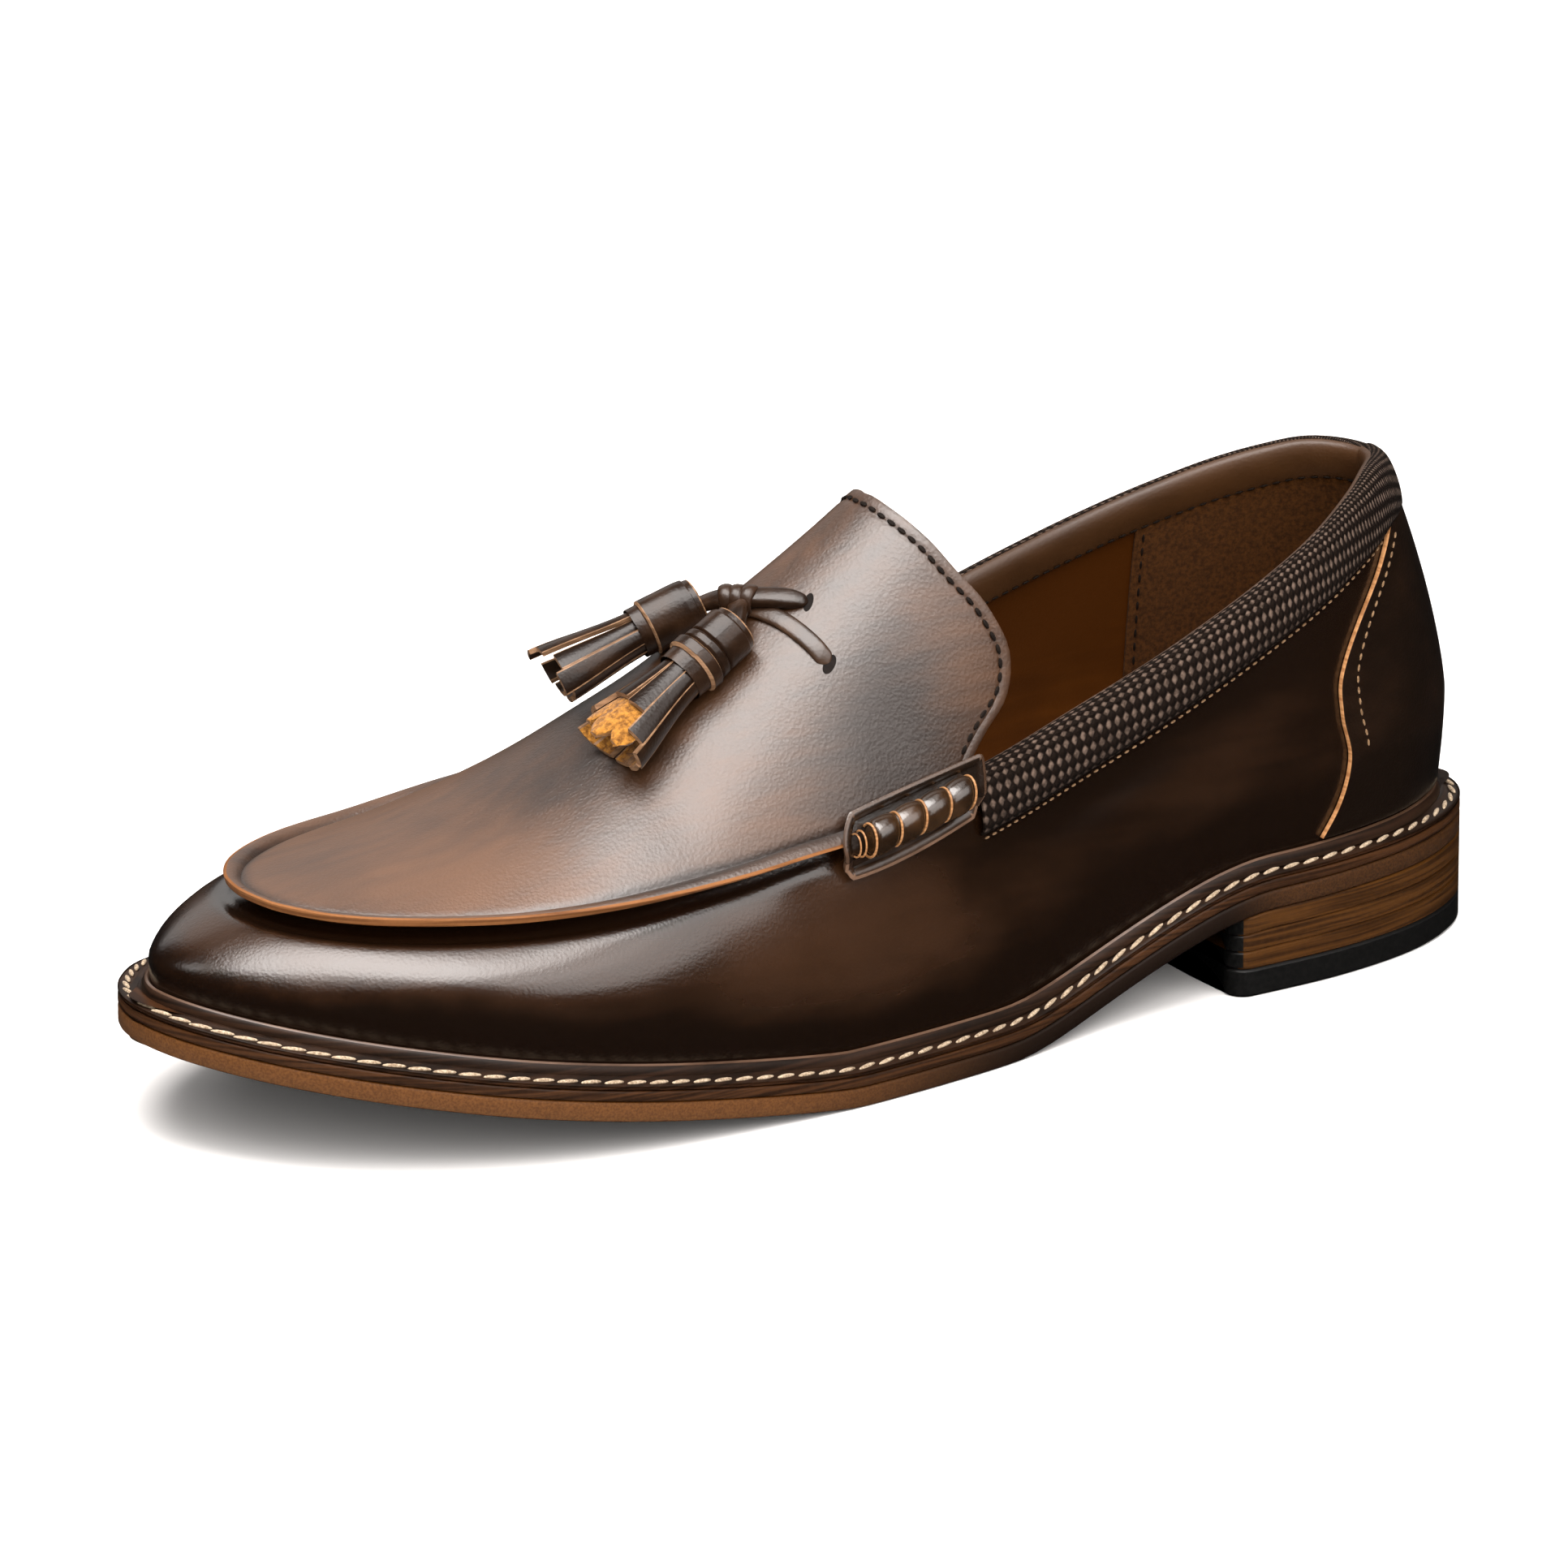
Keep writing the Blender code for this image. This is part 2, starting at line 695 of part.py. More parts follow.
def make_tab(collection, name, side):
    """Tab: lies on the wall below, steps up over the apron's edge, and carries a stitched roll."""
    sheet, across_of = tab_sheet(side)
    piece = make_piece(collection, name, (sheet.points, sheet.faces), "burnished")
    face_outward(piece)
    step = piece.vertex_groups.new(name="step")
    roll = piece.vertex_groups.new(name="roll")
    step_height = OVERLAY_FIT + APRON_THICK + 2 * FIT
    for k, (across, along) in enumerate(across_of):
        over = min(1.0, max(0.0, (across + 0.55) / 0.35))
        step.add([k], (FIT + (step_height - FIT) * over) / step_height, "REPLACE")
        hump = max(0.0, 1 - (across / 0.55) ** 2)
        bead = 0.75 + 0.25 * math.cos(2 * math.pi * TAB_STITCHES * along)
        inside = 1.0 if 0.08 < along < 0.92 else 0.0
        high = TAB_THICK + TAB_ROLL * hump * bead * inside
        roll.add([k], high / (TAB_THICK + TAB_ROLL), "REPLACE")
    lift_off(piece, step_height, "step")
    thicken(piece, TAB_THICK + TAB_ROLL, True, "roll")
    return piece


def vamp_slope(x, y):
    """Angle at which the vamp falls toward the toe."""
    fall = float(crown_height(np.array(x - 1.0), np.array(y)) - crown_height(np.array(x + 1.0), np.array(y)))
    return math.atan2(fall, 2.0)


def over_vamp(x, y, height):
    """A point standing off the apron by a height, square to its slope."""
    slope = vamp_slope(x, y)
    rise = OVERLAY_FIT + APRON_THICK + height
    z = float(crown_height(np.array(x), np.array(y)))
    return x + rise * math.sin(slope), y, z + rise * math.cos(slope)


def strap_form(slot):
    """Flat strap from its slot in the vamp to the knot, bowed up over the apron."""
    lift = OVERLAY_FIT + APRON_THICK + FIT
    start = np.array(slot)
    end = np.array(over_vamp(*KNOT_PLACE, FIT + KNOT_SIZE[2] / 2))
    heading = end[:2] - start
    heading /= np.linalg.norm(heading)
    across = np.array([-heading[1], heading[0]])
    points = []
    for part in np.linspace(0, 1, 6):
        plan = start + (end[:2] - start) * part
        for side in (-0.5, 0.5):
            x, y = plan + across * STRAP_WIDTH * side
            surface = float(crown_height(np.array(x), np.array(y))) + lift / math.cos(vamp_slope(x, y)) + 0.9
            middle = surface + (end[2] - surface) * part ** 2
            points.append([x, y, middle])
            points.append([x, y, middle + STRAP_THICK])
    faces = [[0, 1, 3, 2], [20, 21, 23, 22]]
    for k in range(5):
        a = 4 * k
        for p, q in ((0, 1), (1, 3), (3, 2), (2, 0)):
            faces.append([a + p, a + q, a + 4 + q, a + 4 + p])
    return points, faces


def make_knot(collection, workshop):
    """Knot that ties the tassels down, with a strap from each slot fused in."""
    middle = over_vamp(*KNOT_PLACE, FIT + KNOT_SIZE[2] / 2)
    tilt = vamp_slope(*KNOT_PLACE)
    bpy.ops.mesh.primitive_cube_add(size=1.0, location=placed(middle), rotation=(0.0, tilt, 0.0))
    knot = bpy.context.object
    knot.name = "tassel_tie"
    knot.data.name = "tassel_tie"
    knot.dimensions = [value * MM for value in KNOT_SIZE]
    bpy.ops.object.transform_apply(location=True, rotation=True, scale=True)
    for owner in list(knot.users_collection):
        owner.objects.unlink(knot)
    collection.objects.link(knot)
    knot.data.materials.append(material_of("burnished"))
    soften = knot.modifiers.new("soft corners", "BEVEL")
    soften.width = 2.2 * MM
    soften.segments = 2
    for k, slot in enumerate(STRAP_ENDS):
        strap = make_piece(workshop, f"strap {k + 1}", strap_form(slot), "burnished")
        strap.hide_render = True
        strap.display_type = "WIRE"
        join = knot.modifiers.new(f"strap {k + 1}", "BOOLEAN")
        join.operation = "UNION"
        join.solver = "EXACT"
        join.object = strap
    return knot


def build():
    """Puts the shoe together from the floor up."""
    for old in list(bpy.data.objects):
        bpy.data.objects.remove(old, do_unlink=True)
    collection = bpy.data.collections.new(NAME)
    workshop = bpy.data.collections.new("workshop")
    bpy.context.scene.collection.children.link(collection)
    bpy.context.scene.collection.children.link(workshop)

    edge = outline_ring(sole_plan)
    foot = outline_ring(feather_plan)
    inside_foot = (foot[0] - foot[1] * (WALL + 0.8), foot[1])

    top_lift = heel_block(lambda x: 0.0, lambda x: TOP_LIFT_THICK)
    make_piece(collection, "heel_top_lift", top_lift, "rubber")
    for k in range(LIFT_COUNT):
        low, high = lift_level(k / LIFT_COUNT), lift_level((k + 1) / LIFT_COUNT)
        form = heel_block(lambda x: low(x) + FIT, high if k < LIFT_COUNT - 1 else lambda x: high(x) - FIT)
        make_piece(collection, f"heel_lift_{k + 1}", form, "tan")
    make_piece(collection, "outsole", plate(edge, 0.0, OUTSOLE_THICK, EDGE_ROUND), "tan")
    midsole_top = MIDSOLE_BASE + MIDSOLE_THICK
    make_piece(collection, "midsole", plate(edge, MIDSOLE_BASE, midsole_top, EDGE_ROUND / 2), "edge_brown")
    make_piece(collection, "welt", welt_form(), "edge_brown")
    insole = plate(inside_foot, WELT_BASE, WELT_BASE + INSOLE_THICK, EDGE_ROUND)
    make_piece(collection, "insole", insole, "lining")

    sheet = upper_sheet()
    upper = make_piece(collection, "upper", (sheet.points, sheet.faces), "burnished")
    face_outward(upper)
    thicken(upper, WALL, False)

    make_overlay(collection, "apron", apron_sheet(), APRON_THICK, "burnished")
    make_overlay(collection, "heel_counter", counter_sheet(), COUNTER_THICK, "burnished")
    make_overlay(collection, "collar_band", band_sheet(), BAND_THICK, "woven")
    make_tab(collection, "tab_outer", 1)
    make_tab(collection, "tab_inner", -1)

    make_knot(collection, workshop)
    make_piece(collection, "tassel_outer", tassel_form(*OUTER_TASSEL), "burnished")
    make_piece(collection, "tassel_inner", tassel_form(*INNER_TASSEL), "burnished")


build()
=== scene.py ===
"""Looks of the left tassel loafer: lasted upper, apron and trims on a welted, stacked sole."""
from collections import namedtuple
from functools import lru_cache
import math

import bpy
import numpy as np
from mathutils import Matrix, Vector


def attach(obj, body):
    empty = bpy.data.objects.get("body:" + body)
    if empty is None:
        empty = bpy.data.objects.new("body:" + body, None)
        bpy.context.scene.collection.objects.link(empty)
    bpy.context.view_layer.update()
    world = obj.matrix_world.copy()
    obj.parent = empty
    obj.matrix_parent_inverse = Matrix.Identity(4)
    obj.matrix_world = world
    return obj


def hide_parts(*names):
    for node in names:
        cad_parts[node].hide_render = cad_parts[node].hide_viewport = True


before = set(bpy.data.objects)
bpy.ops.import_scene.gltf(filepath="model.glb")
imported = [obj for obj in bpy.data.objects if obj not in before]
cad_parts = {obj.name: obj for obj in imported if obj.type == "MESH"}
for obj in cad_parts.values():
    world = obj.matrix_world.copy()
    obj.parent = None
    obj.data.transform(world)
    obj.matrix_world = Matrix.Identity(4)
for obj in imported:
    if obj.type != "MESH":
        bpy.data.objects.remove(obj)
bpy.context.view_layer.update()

MM = 0.001

# Sizes of the last and the sole in millimetres: x from the back of the heel to the toe,
# y to the outer side, z up from the floor
SOLE_LENGTH = 300.0
FOOTPRINT_MIDDLE = 1.05
HEEL_LENGTH = 71.0
SEAT_HEIGHT = 17.4
SEAT_TILT = 1.3
ARCH_START = 60.0
ARCH_END = 130.0
TOE_SPRING = 21.2
SPRING_START = 168.0
SPRING_POWER = 1.15
OUTSOLE_TOP = 4.15
MIDSOLE_TOP = 6.45
WELT_TOP = 8.4
FEATHER = 8.8
RIB_HEIGHT = 2.2
RIB_WIDTH = 1.5
TOP_LIFT = 6.0
LIFT_COUNT = 3
HEEL_CORNER = 4.0
BREAST_HOLLOW = 7.0
UPPER_HEEL = 5.0
UPPER_TOE = 294.5
WALL = 1.8
TOE_ROLL_START = 236.0
HEEL_ROLL_START = 48.0
TONGUE_X = 136.0
TONGUE_REACH = 26.0
TOE_FAN_START = 205.0
TOE_FAN_REACH = 32.0
HEEL_FAN_START = 70.0
HEEL_FAN_REACH = 22.0
APRON_STAND = 0.4
APRON_THICK = 1.5
APRON_OVERHANG = 1.0
VAMP_FACE = APRON_STAND + APRON_THICK
BAND_HEIGHT = 12.5
TAB_START = 133.0
TAB_END = 168.0
TAB_HALF_HEIGHT = 6.8
PROFILE_POINTS = 140
STATION_STEP = 0.0025
SIDES = ((1, "outer"), (-1, "inner"))

Outline = namedtuple("Outline", "x outer inner")
SOLE_OUTLINE = (
    Outline(0, 0.0, 0.0),
    Outline(9, 17.0, -17.0),
    Outline(24, 26.0, -26.0),
    Outline(45, 31.5, -31.0),
    Outline(75, 34.0, -33.0),
    Outline(105, 37.2, -32.0),
    Outline(135, 45.0, -33.0),
    Outline(165, 50.2, -39.0),
    Outline(195, 52.8, -47.0),
    Outline(216, 53.4, -51.0),
    Outline(240, 50.5, -50.5),
    Outline(264, 41.5, -44.0),
    Outline(282, 29.5, -34.0),
    Outline(294, 15.5, -20.5),
    Outline(300, -3.5, -3.5),
)
Section = namedtuple("Section", "x inset swell widest ridge ridge_y flank crown")
SECTIONS = (
    Section(0, 4.0, 1.5, 22.0, 130.0, 0.0, 2.00, 1.30),
    Section(45, 4.0, 2.0, 20.0, 135.0, 0.0, 2.00, 1.30),
    Section(80, 4.3, 2.0, 19.0, 140.0, 0.5, 2.00, 1.35),
    Section(110, 4.6, 1.2, 18.0, 128.0, 1.0, 2.00, 1.45),
    Section(135, 5.0, 0.2, 17.0, 109.0, 2.0, 2.00, 1.55),
    Section(160, 5.3, 0.5, 16.0, 91.5, 2.0, 2.00, 1.65),
    Section(185, 5.6, 1.4, 15.0, 75.5, 1.5, 2.00, 1.70),
    Section(210, 5.8, 2.0, 14.0, 60.5, 1.0, 2.05, 1.75),
    Section(235, 6.0, 1.6, 13.0, 51.5, 0.0, 2.10, 1.80),
    Section(258, 6.3, 1.2, 12.0, 49.0, -1.5, 2.10, 1.85),
    Section(280, 6.6, 0.8, 7.0, 50.5, -3.0, 2.10, 1.60),
    Section(300, 7.0, 0.4, 5.0, 52.0, -3.5, 2.10, 1.50),
)
Collar = namedtuple("Collar", "x outer inner")
COLLAR = (
    Collar(12, 97.5, 97.5),
    Collar(20, 99.5, 99.0),
    Collar(27, 99.5, 98.8),
    Collar(34, 96.5, 97.0),
    Collar(47, 90.0, 93.6),
    Collar(60, 84.0, 90.0),
    Collar(80, 75.5, 84.3),
    Collar(100, 68.0, 79.0),
    Collar(120, 62.0, 73.0),
    Collar(140, 57.5, 67.5),
)
Seam = namedtuple("Seam", "x outer inner")
APRON_SEAM = (
    Seam(160, 45.0, 51.0),
    Seam(175, 42.3, 46.0),
    Seam(190, 38.9, 41.2),
    Seam(205, 35.9, 37.4),
    Seam(220, 33.3, 34.4),
    Seam(235, 31.2, 31.8),
    Seam(250, 29.3, 29.7),
    Seam(262, 27.7, 28.1),
    Seam(272, 26.4, 26.8),
    Seam(280, 25.9, 26.3),
    Seam(286, 26.2, 26.4),
    Seam(290, 26.7, 26.8),
    Seam(294.5, 28.1, 28.1),
)
Tongue = namedtuple("Tongue", "inward forward")
TONGUE_EDGE = (
    Tongue(0.00, 0.0),
    Tongue(0.14, 0.0),
    Tongue(0.20, -5.5),
    Tongue(0.25, -11.0),
    Tongue(0.31, -13.3),
    Tongue(0.38, -10.8),
    Tongue(0.48, -6.0),
    Tongue(0.60, -2.7),
    Tongue(0.80, 0.8),
    Tongue(1.00, 2.0),
)
Counter = namedtuple("Counter", "up x")
COUNTER_EDGE = (
    Counter(0.00, 48.0),
    Counter(0.12, 44.5),
    Counter(0.30, 42.2),
    Counter(0.50, 43.8),
    Counter(0.65, 43.0),
    Counter(0.80, 36.0),
    Counter(0.92, 25.0),
    Counter(1.00, 17.0),
)
COUNTER_FOOT = RIB_HEIGHT + 0.5
COUNTER_BELOW_BAND = 2.5

# Soft troughs (below zero) and swells pressed into the walls: place, reach along and up, lean
Fold = namedtuple("Fold", "x up along rise lean height")
WALL_FOLDS = (
    Fold(172.0, 26.0, 5.0, 16.0, 0.5, -0.45),
    Fold(186.0, 23.0, 6.0, 15.0, 0.4, 0.35),
    Fold(158.0, 27.0, 6.0, 16.0, 0.5, 0.30),
    Fold(104.0, 34.0, 26.0, 4.0, -0.35, -0.60),
    Fold(100.0, 25.0, 24.0, 5.0, -0.30, 0.35),
    Fold(75.0, 30.0, 14.0, 16.0, 0.0, -0.40),
)
Hollow = namedtuple("Hollow", "x y along across height")
VAMP_FOLDS = (
    Hollow(151.0, 33.0, 9.0, 5.5, -0.9),
    Hollow(170.0, 20.0, 9.0, 7.0, 0.3),
    Hollow(196.0, 27.0, 7.0, 9.0, -0.5),
    Hollow(208.0, 25.0, 8.0, 10.0, 0.4),
    Hollow(183.0, -18.0, 8.0, 10.0, -0.4),
    Hollow(232.0, 6.0, 18.0, 22.0, -0.5),
)


def curve_through(stations, values, at):
    """Smooth curve through table values, read at one place or many."""
    stations = np.asarray(stations, float)
    values = np.asarray(values, float)
    at = np.asarray(at, float)
    gap = np.diff(stations)
    slope = np.diff(values) / gap
    lean = np.empty_like(values)
    lean[1:-1] = (slope[:-1] * gap[1:] + slope[1:] * gap[:-1]) / (gap[1:] + gap[:-1])
    lean[0] = slope[0]
    lean[-1] = slope[-1]
    row = np.clip(np.searchsorted(stations, at, side="right") - 1, 0, len(gap) - 1)
    t = np.clip((at - stations[row]) / gap[row], 0.0, 1.0)
    start = (1 + 2 * t) * (1 - t) ** 2 * values[row] + t * (1 - t) ** 2 * gap[row] * lean[row]
    end = t * t * (3 - 2 * t) * values[row + 1] + t * t * (t - 1) * gap[row] * lean[row + 1]
    return start + end


def column(table, name, x):
    """One named column of a table, read along x."""
    return curve_through([row.x for row in table], [getattr(row, name) for row in table], x)


def turn(x):
    """Angle from 0 at the heel to pi at the toe, which keeps both ends of an outline round."""
    return np.arccos(np.clip(1 - 2 * np.asarray(x, float) / SOLE_LENGTH, -1, 1))


def sole_edge(x, side):
    """Sideways place of the sole's edge."""
    angles = turn([row.x for row in SOLE_OUTLINE])
    edge = [row.outer if side > 0 else row.inner for row in SOLE_OUTLINE]
    return curve_through(angles, edge, turn(x))


def sole_bottom(x):
    """Underside of the outsole: raised seat, fall of the arch, flat tread and toe spring."""
    x = np.asarray(x, float)
    fall = np.clip((x - ARCH_START) / (ARCH_END - ARCH_START), 0, 1)
    seat = SEAT_HEIGHT * (1 - fall * fall * (3 - 2 * fall))
    tilt = SEAT_TILT * np.clip(1 - x / HEEL_LENGTH, 0, 1)
    rise = np.clip((x - SPRING_START) / (SOLE_LENGTH - SPRING_START), 0, 1)
    return seat + tilt + TOE_SPRING * rise ** SPRING_POWER


def feather_height(x):
    """Height at which the upper meets the welt."""
    return sole_bottom(x) + FEATHER


def on_sole(x):
    """The place on the sole's outline that belongs to a place on the upper's outline."""
    return (np.asarray(x, float) - UPPER_HEEL) / (UPPER_TOE - UPPER_HEEL) * SOLE_LENGTH


def ridge_line(x):
    """Sideways place of the upper's ridge, drawn to the middle at toe and heel."""
    along = on_sole(x)
    middle = (sole_edge(along, 1) + sole_edge(along, -1)) / 2
    keep = np.clip(np.minimum(along, SOLE_LENGTH - along) / 30, 0, 1)
    return keep * column(SECTIONS, "ridge_y", x) + (1 - keep) * middle


def half_width(x, side):
    """From the ridge out to the upper's widest line on one side."""
    along = on_sole(x)
    reach = side * (sole_edge(along, side) - ridge_line(x))
    inset = column(SECTIONS, "inset", x) - column(SECTIONS, "swell", x)
    return np.maximum(reach - inset * np.sqrt(np.sin(turn(along))), 0.0)


def ridge_height(x):
    """Height of the ridge, rolled down at the toe and at the back of the heel."""
    x = np.asarray(x, float)
    widest = feather_height(x) + column(SECTIONS, "widest", x)
    toe = np.clip((x - TOE_ROLL_START) / (UPPER_TOE - TOE_ROLL_START), 0, 1)
    heel = np.clip((HEEL_ROLL_START - x) / (HEEL_ROLL_START - UPPER_HEEL), 0, 1)
    roll = (1 - toe ** 2.2) ** (1 / 1.45) * (1 - heel ** 1.7) ** (1 / 1.3)
    return widest + (column(SECTIONS, "ridge", x) - widest) * roll


def crown_height(x, y):
    """Height of the upper over a point inside its widest line."""
    ridge = ridge_line(x)
    width = np.where(y >= ridge, half_width(x, 1), half_width(x, -1))
    across = np.clip(np.abs(y - ridge) / np.maximum(width, 1e-6), 0, 1)
    widest = feather_height(x) + column(SECTIONS, "widest", x)
    fullness = (1 - across ** column(SECTIONS, "flank", x)) ** (1 / column(SECTIONS, "crown", x))
    return widest + (ridge_height(x) - widest) * fullness


def station_at(t):
    """Place along the shoe and side for t: 0 toe tip, 1 back of the heel, 2 toe tip again."""
    t = t % 2.0
    side = 1 if t <= 1 else -1
    angle = math.pi * (1 - t) if side > 0 else math.pi * (t - 1)
    return (1 - math.cos(angle)) / 2, side


def upper_x(t):
    """Place along the shoe of a station on the upper's outline."""
    return UPPER_HEEL + (UPPER_TOE - UPPER_HEEL) * station_at(t)[0]


def station_of(x, side):
    """The t of a place on the upper's outline."""
    angle = math.acos(1 - 2 * (x - UPPER_HEEL) / (UPPER_TOE - UPPER_HEEL))
    return 1 - angle / math.pi if side > 0 else 1 + angle / math.pi


def spine_place(x):
    """Where the section from an outline point reaches the ridge: fans in at toe and heel."""
    toe = max(x - TOE_FAN_START, 0.0)
    heel = max(HEEL_FAN_START - x, 0.0)
    pulled = x - toe + TOE_FAN_REACH * (1 - math.exp(-toe / TOE_FAN_REACH))
    return pulled + heel - HEEL_FAN_REACH * (1 - math.exp(-heel / HEEL_FAN_REACH))


@lru_cache(maxsize=None)
def section_line(t):
    """Points from the welt up the wall and over to the ridge, with the length walked to each."""
    x = upper_x(t)
    side = station_at(t)[1]
    edge = np.array([x, float(ridge_line(x) + side * half_width(x, side))])
    spine_x = spine_place(x)
    spine = np.array([spine_x, float(ridge_line(spine_x))])
    inward = (spine - edge) / (np.linalg.norm(spine - edge) + 1e-9)
    angle = np.linspace(0, math.pi / 2, 17)[:-1]
    tuck = float(column(SECTIONS, "swell", x)) * (1 - np.sin(angle))
    rise = float(column(SECTIONS, "widest", x)) * angle / (math.pi / 2)
    low_plan = edge + tuck[:, None] * inward
    low = np.column_stack([low_plan, feather_height(x) + rise])
    step = np.linspace(0, 1, PROFILE_POINTS) ** 2.4
    plan = edge + step[:, None] * (spine - edge)
    swing = curve_through(*zip(*TONGUE_EDGE), step)
    plan[:, 0] += swing * math.exp(-((x - TONGUE_X) / TONGUE_REACH) ** 2)
    high = np.column_stack([plan, crown_height(plan[:, 0], plan[:, 1])])
    line = np.vstack([low, high])
    length = np.concatenate([[0.0], np.cumsum(np.linalg.norm(np.diff(line, axis=0), axis=1))])
    return line, length


def between_sections(read, t, *given):
    """A reading at any station, from the two sections drawn beside it."""
    low = math.floor(t / STATION_STEP)
    part = t / STATION_STEP - low
    first = read(low * STATION_STEP, *given)
    if part < 1e-9:
        return first
    return first * (1 - part) + read((low + 1) * STATION_STEP, *given) * part


def section_point(t, length):
    """A point on one drawn section."""
    line, walked = section_line(t)
    return np.array([np.interp(length, walked, line[:, axis]) for axis in range(3)])


def on_upper(t, length):
    """The upper's outer face at a station, a given length up from the welt."""
    return between_sections(section_point, t, length)


@lru_cache(maxsize=None)
def section_length(t):
    """Whole length of a section from the welt to the ridge."""
    return float(section_line(t)[1][-1])


def whole_length(t):
    """Length from the welt to the ridge at a station."""
    return between_sections(section_length, t)


@lru_cache(maxsize=None)
def section_collar(t):
    """Length of the wall from the welt to the collar's top edge."""
    line, walked = section_line(t)
    side = station_at(t)[1]
    top = column(COLLAR, "outer" if side > 0 else "inner", line[:, 0])
    over = int(np.argmax(line[:, 2] > top))
    below, above = line[over - 1, 2] - top[over - 1], line[over, 2] - top[over]
    return float(walked[over - 1] + (walked[over] - walked[over - 1]) * below / (below - above))


def collar_length(t):
    """Length of the wall to the collar's top edge at any station."""
    return between_sections(section_collar, t)


@lru_cache(maxsize=None)
def seam_length(t):
    """Length of the wall from the welt to the apron's seam, which runs into the collar's edge."""
    side = station_at(t)[1]
    name = "outer" if side > 0 else "inner"
    tongue = collar_length(station_of(TONGUE_X, side))
    places = [TONGUE_X] + [row.x for row in APRON_SEAM]
    lengths = [tongue] + [getattr(row, name) for row in APRON_SEAM]
    return float(curve_through(places, lengths, upper_x(t)))


def stance(t, length):
    """Place on the upper with the directions round the shoe, up the wall and out of it."""
    small, step = 0.002, 0.4
    place = on_upper(t, length)
    low = max(min(length, whole_length(t)) - step, 0.0)
    high = low + 2 * step if length < step else min(length + step, whole_length(t))
    up = on_upper(t, high) - on_upper(t, low)
    up /= np.linalg.norm(up)
    around = on_upper(t + small, length) - on_upper(t - small, length)
    around -= up * (around @ up)
    around /= np.linalg.norm(around) + 1e-12
    return place, around, up, np.cross(around, up)


def vamp_point(x, y, height):
    """A point over the vamp, standing off it square to its slope."""
    gap = 1.0
    fall = crown_height(x - gap, y) - crown_height(x + gap, y)
    lean = crown_height(x, y - gap) - crown_height(x, y + gap)
    out = np.array([float(fall), float(lean), 2 * gap])
    out /= np.linalg.norm(out)
    return np.array([x, y, float(crown_height(x, y))]) + out * height, out


def bell(value, middle, reach):
    """Soft bump from 0 to 1 and back round a middle value."""
    return math.exp(-((value - middle) / reach) ** 2)


def ease(value, start, end):
    """Smooth step from 0 at start to 1 at end."""
    part = min(1.0, max(0.0, (value - start) / (end - start)))
    return part * part * (3 - 2 * part)


def paced(part, knee, reached):
    """A share of a sheet's rows respaced, so that the knee comes a given share of the way along."""
    if part < knee:
        return part / knee * reached
    return reached + (part - knee) / (1 - knee) * (1 - reached)


def placed(points):
    """Millimetres on the shoe to metres about the middle of its footprint."""
    middle = np.array([SOLE_LENGTH / 2, FOOTPRINT_MIDDLE, 0.0])
    return (np.asarray(points, float) - middle) * MM


# Working the pieces


def lay_sheet(name, columns, rows, lay):
    """A flat grid laid in place point by point: lay gives place, how far it stands proud, shade
    and, where a piece has one, the mark of its cut edge."""
    bpy.ops.object.select_all(action="DESELECT")
    bpy.ops.mesh.primitive_grid_add(x_subdivisions=columns, y_subdivisions=rows, size=1.0)
    piece = bpy.context.object
    piece.name = name
    mesh = piece.data
    mesh.name = name
    flat = np.empty(len(mesh.vertices) * 3)
    mesh.vertices.foreach_get("co", flat)
    spots = np.clip(flat.reshape(-1, 3)[:, :2] + 0.5, 0.0, 1.0)
    laid = [lay(float(u), float(v)) for u, v in spots]
    mesh.vertices.foreach_set("co", placed([spot[0] for spot in laid]).ravel())
    for k, label in zip(range(1, len(laid[0])), ("proud", "shade", "cut")):
        mark = mesh.attributes.new(label, "FLOAT", "POINT")
        mark.data.foreach_set("value", [float(spot[k]) for spot in laid])
    merge_points(piece)
    stand = np.empty(len(mesh.vertices))
    mesh.attributes["proud"].data.foreach_get("value", stand)
    place = np.empty(len(mesh.vertices) * 3)
    out = np.empty(len(mesh.vertices) * 3)
    mesh.vertices.foreach_get("co", place)
    mesh.vertex_normals.foreach_get("vector", out)
    raised = place.reshape(-1, 3) + out.reshape(-1, 3) * stand[:, None] * MM
    mesh.vertices.foreach_set("co", raised.ravel())
    mesh.attributes.remove(mesh.attributes["proud"])
    mesh.update()
    return piece


def merge_points(piece, recalculate=False):
    """Closes seams and poles where points lie on each other."""
    bpy.context.view_layer.objects.active = piece
    bpy.ops.object.mode_set(mode="EDIT")
    bpy.ops.mesh.select_all(action="SELECT")
    bpy.ops.mesh.remove_doubles(threshold=0.00001)
    bpy.ops.mesh.dissolve_degenerate(threshold=0.000001)
    if recalculate:
        bpy.ops.mesh.normals_make_consistent(inside=False)
    bpy.ops.object.mode_set(mode="OBJECT")
    if recalculate and sum(f.center.dot(f.normal) * f.area for f in piece.data.polygons) < 0:
        bpy.ops.object.mode_set(mode="EDIT")
        bpy.ops.mesh.flip_normals()
        bpy.ops.object.mode_set(mode="OBJECT")


def closed_sheet(name, columns, rows, lay):
    """A sheet laid round into a closed shape."""
    piece = lay_sheet(name, columns, rows, lay)
    merge_points(piece, recalculate=True)
    return piece


def apply_all(piece):
    """Applies a piece's modifiers in order."""
    bpy.ops.object.select_all(action="DESELECT")
    bpy.context.view_layer.objects.active = piece
    piece.select_set(True)
    for modifier in list(piece.modifiers):
        bpy.ops.object.modifier_apply(modifier=modifier.name)


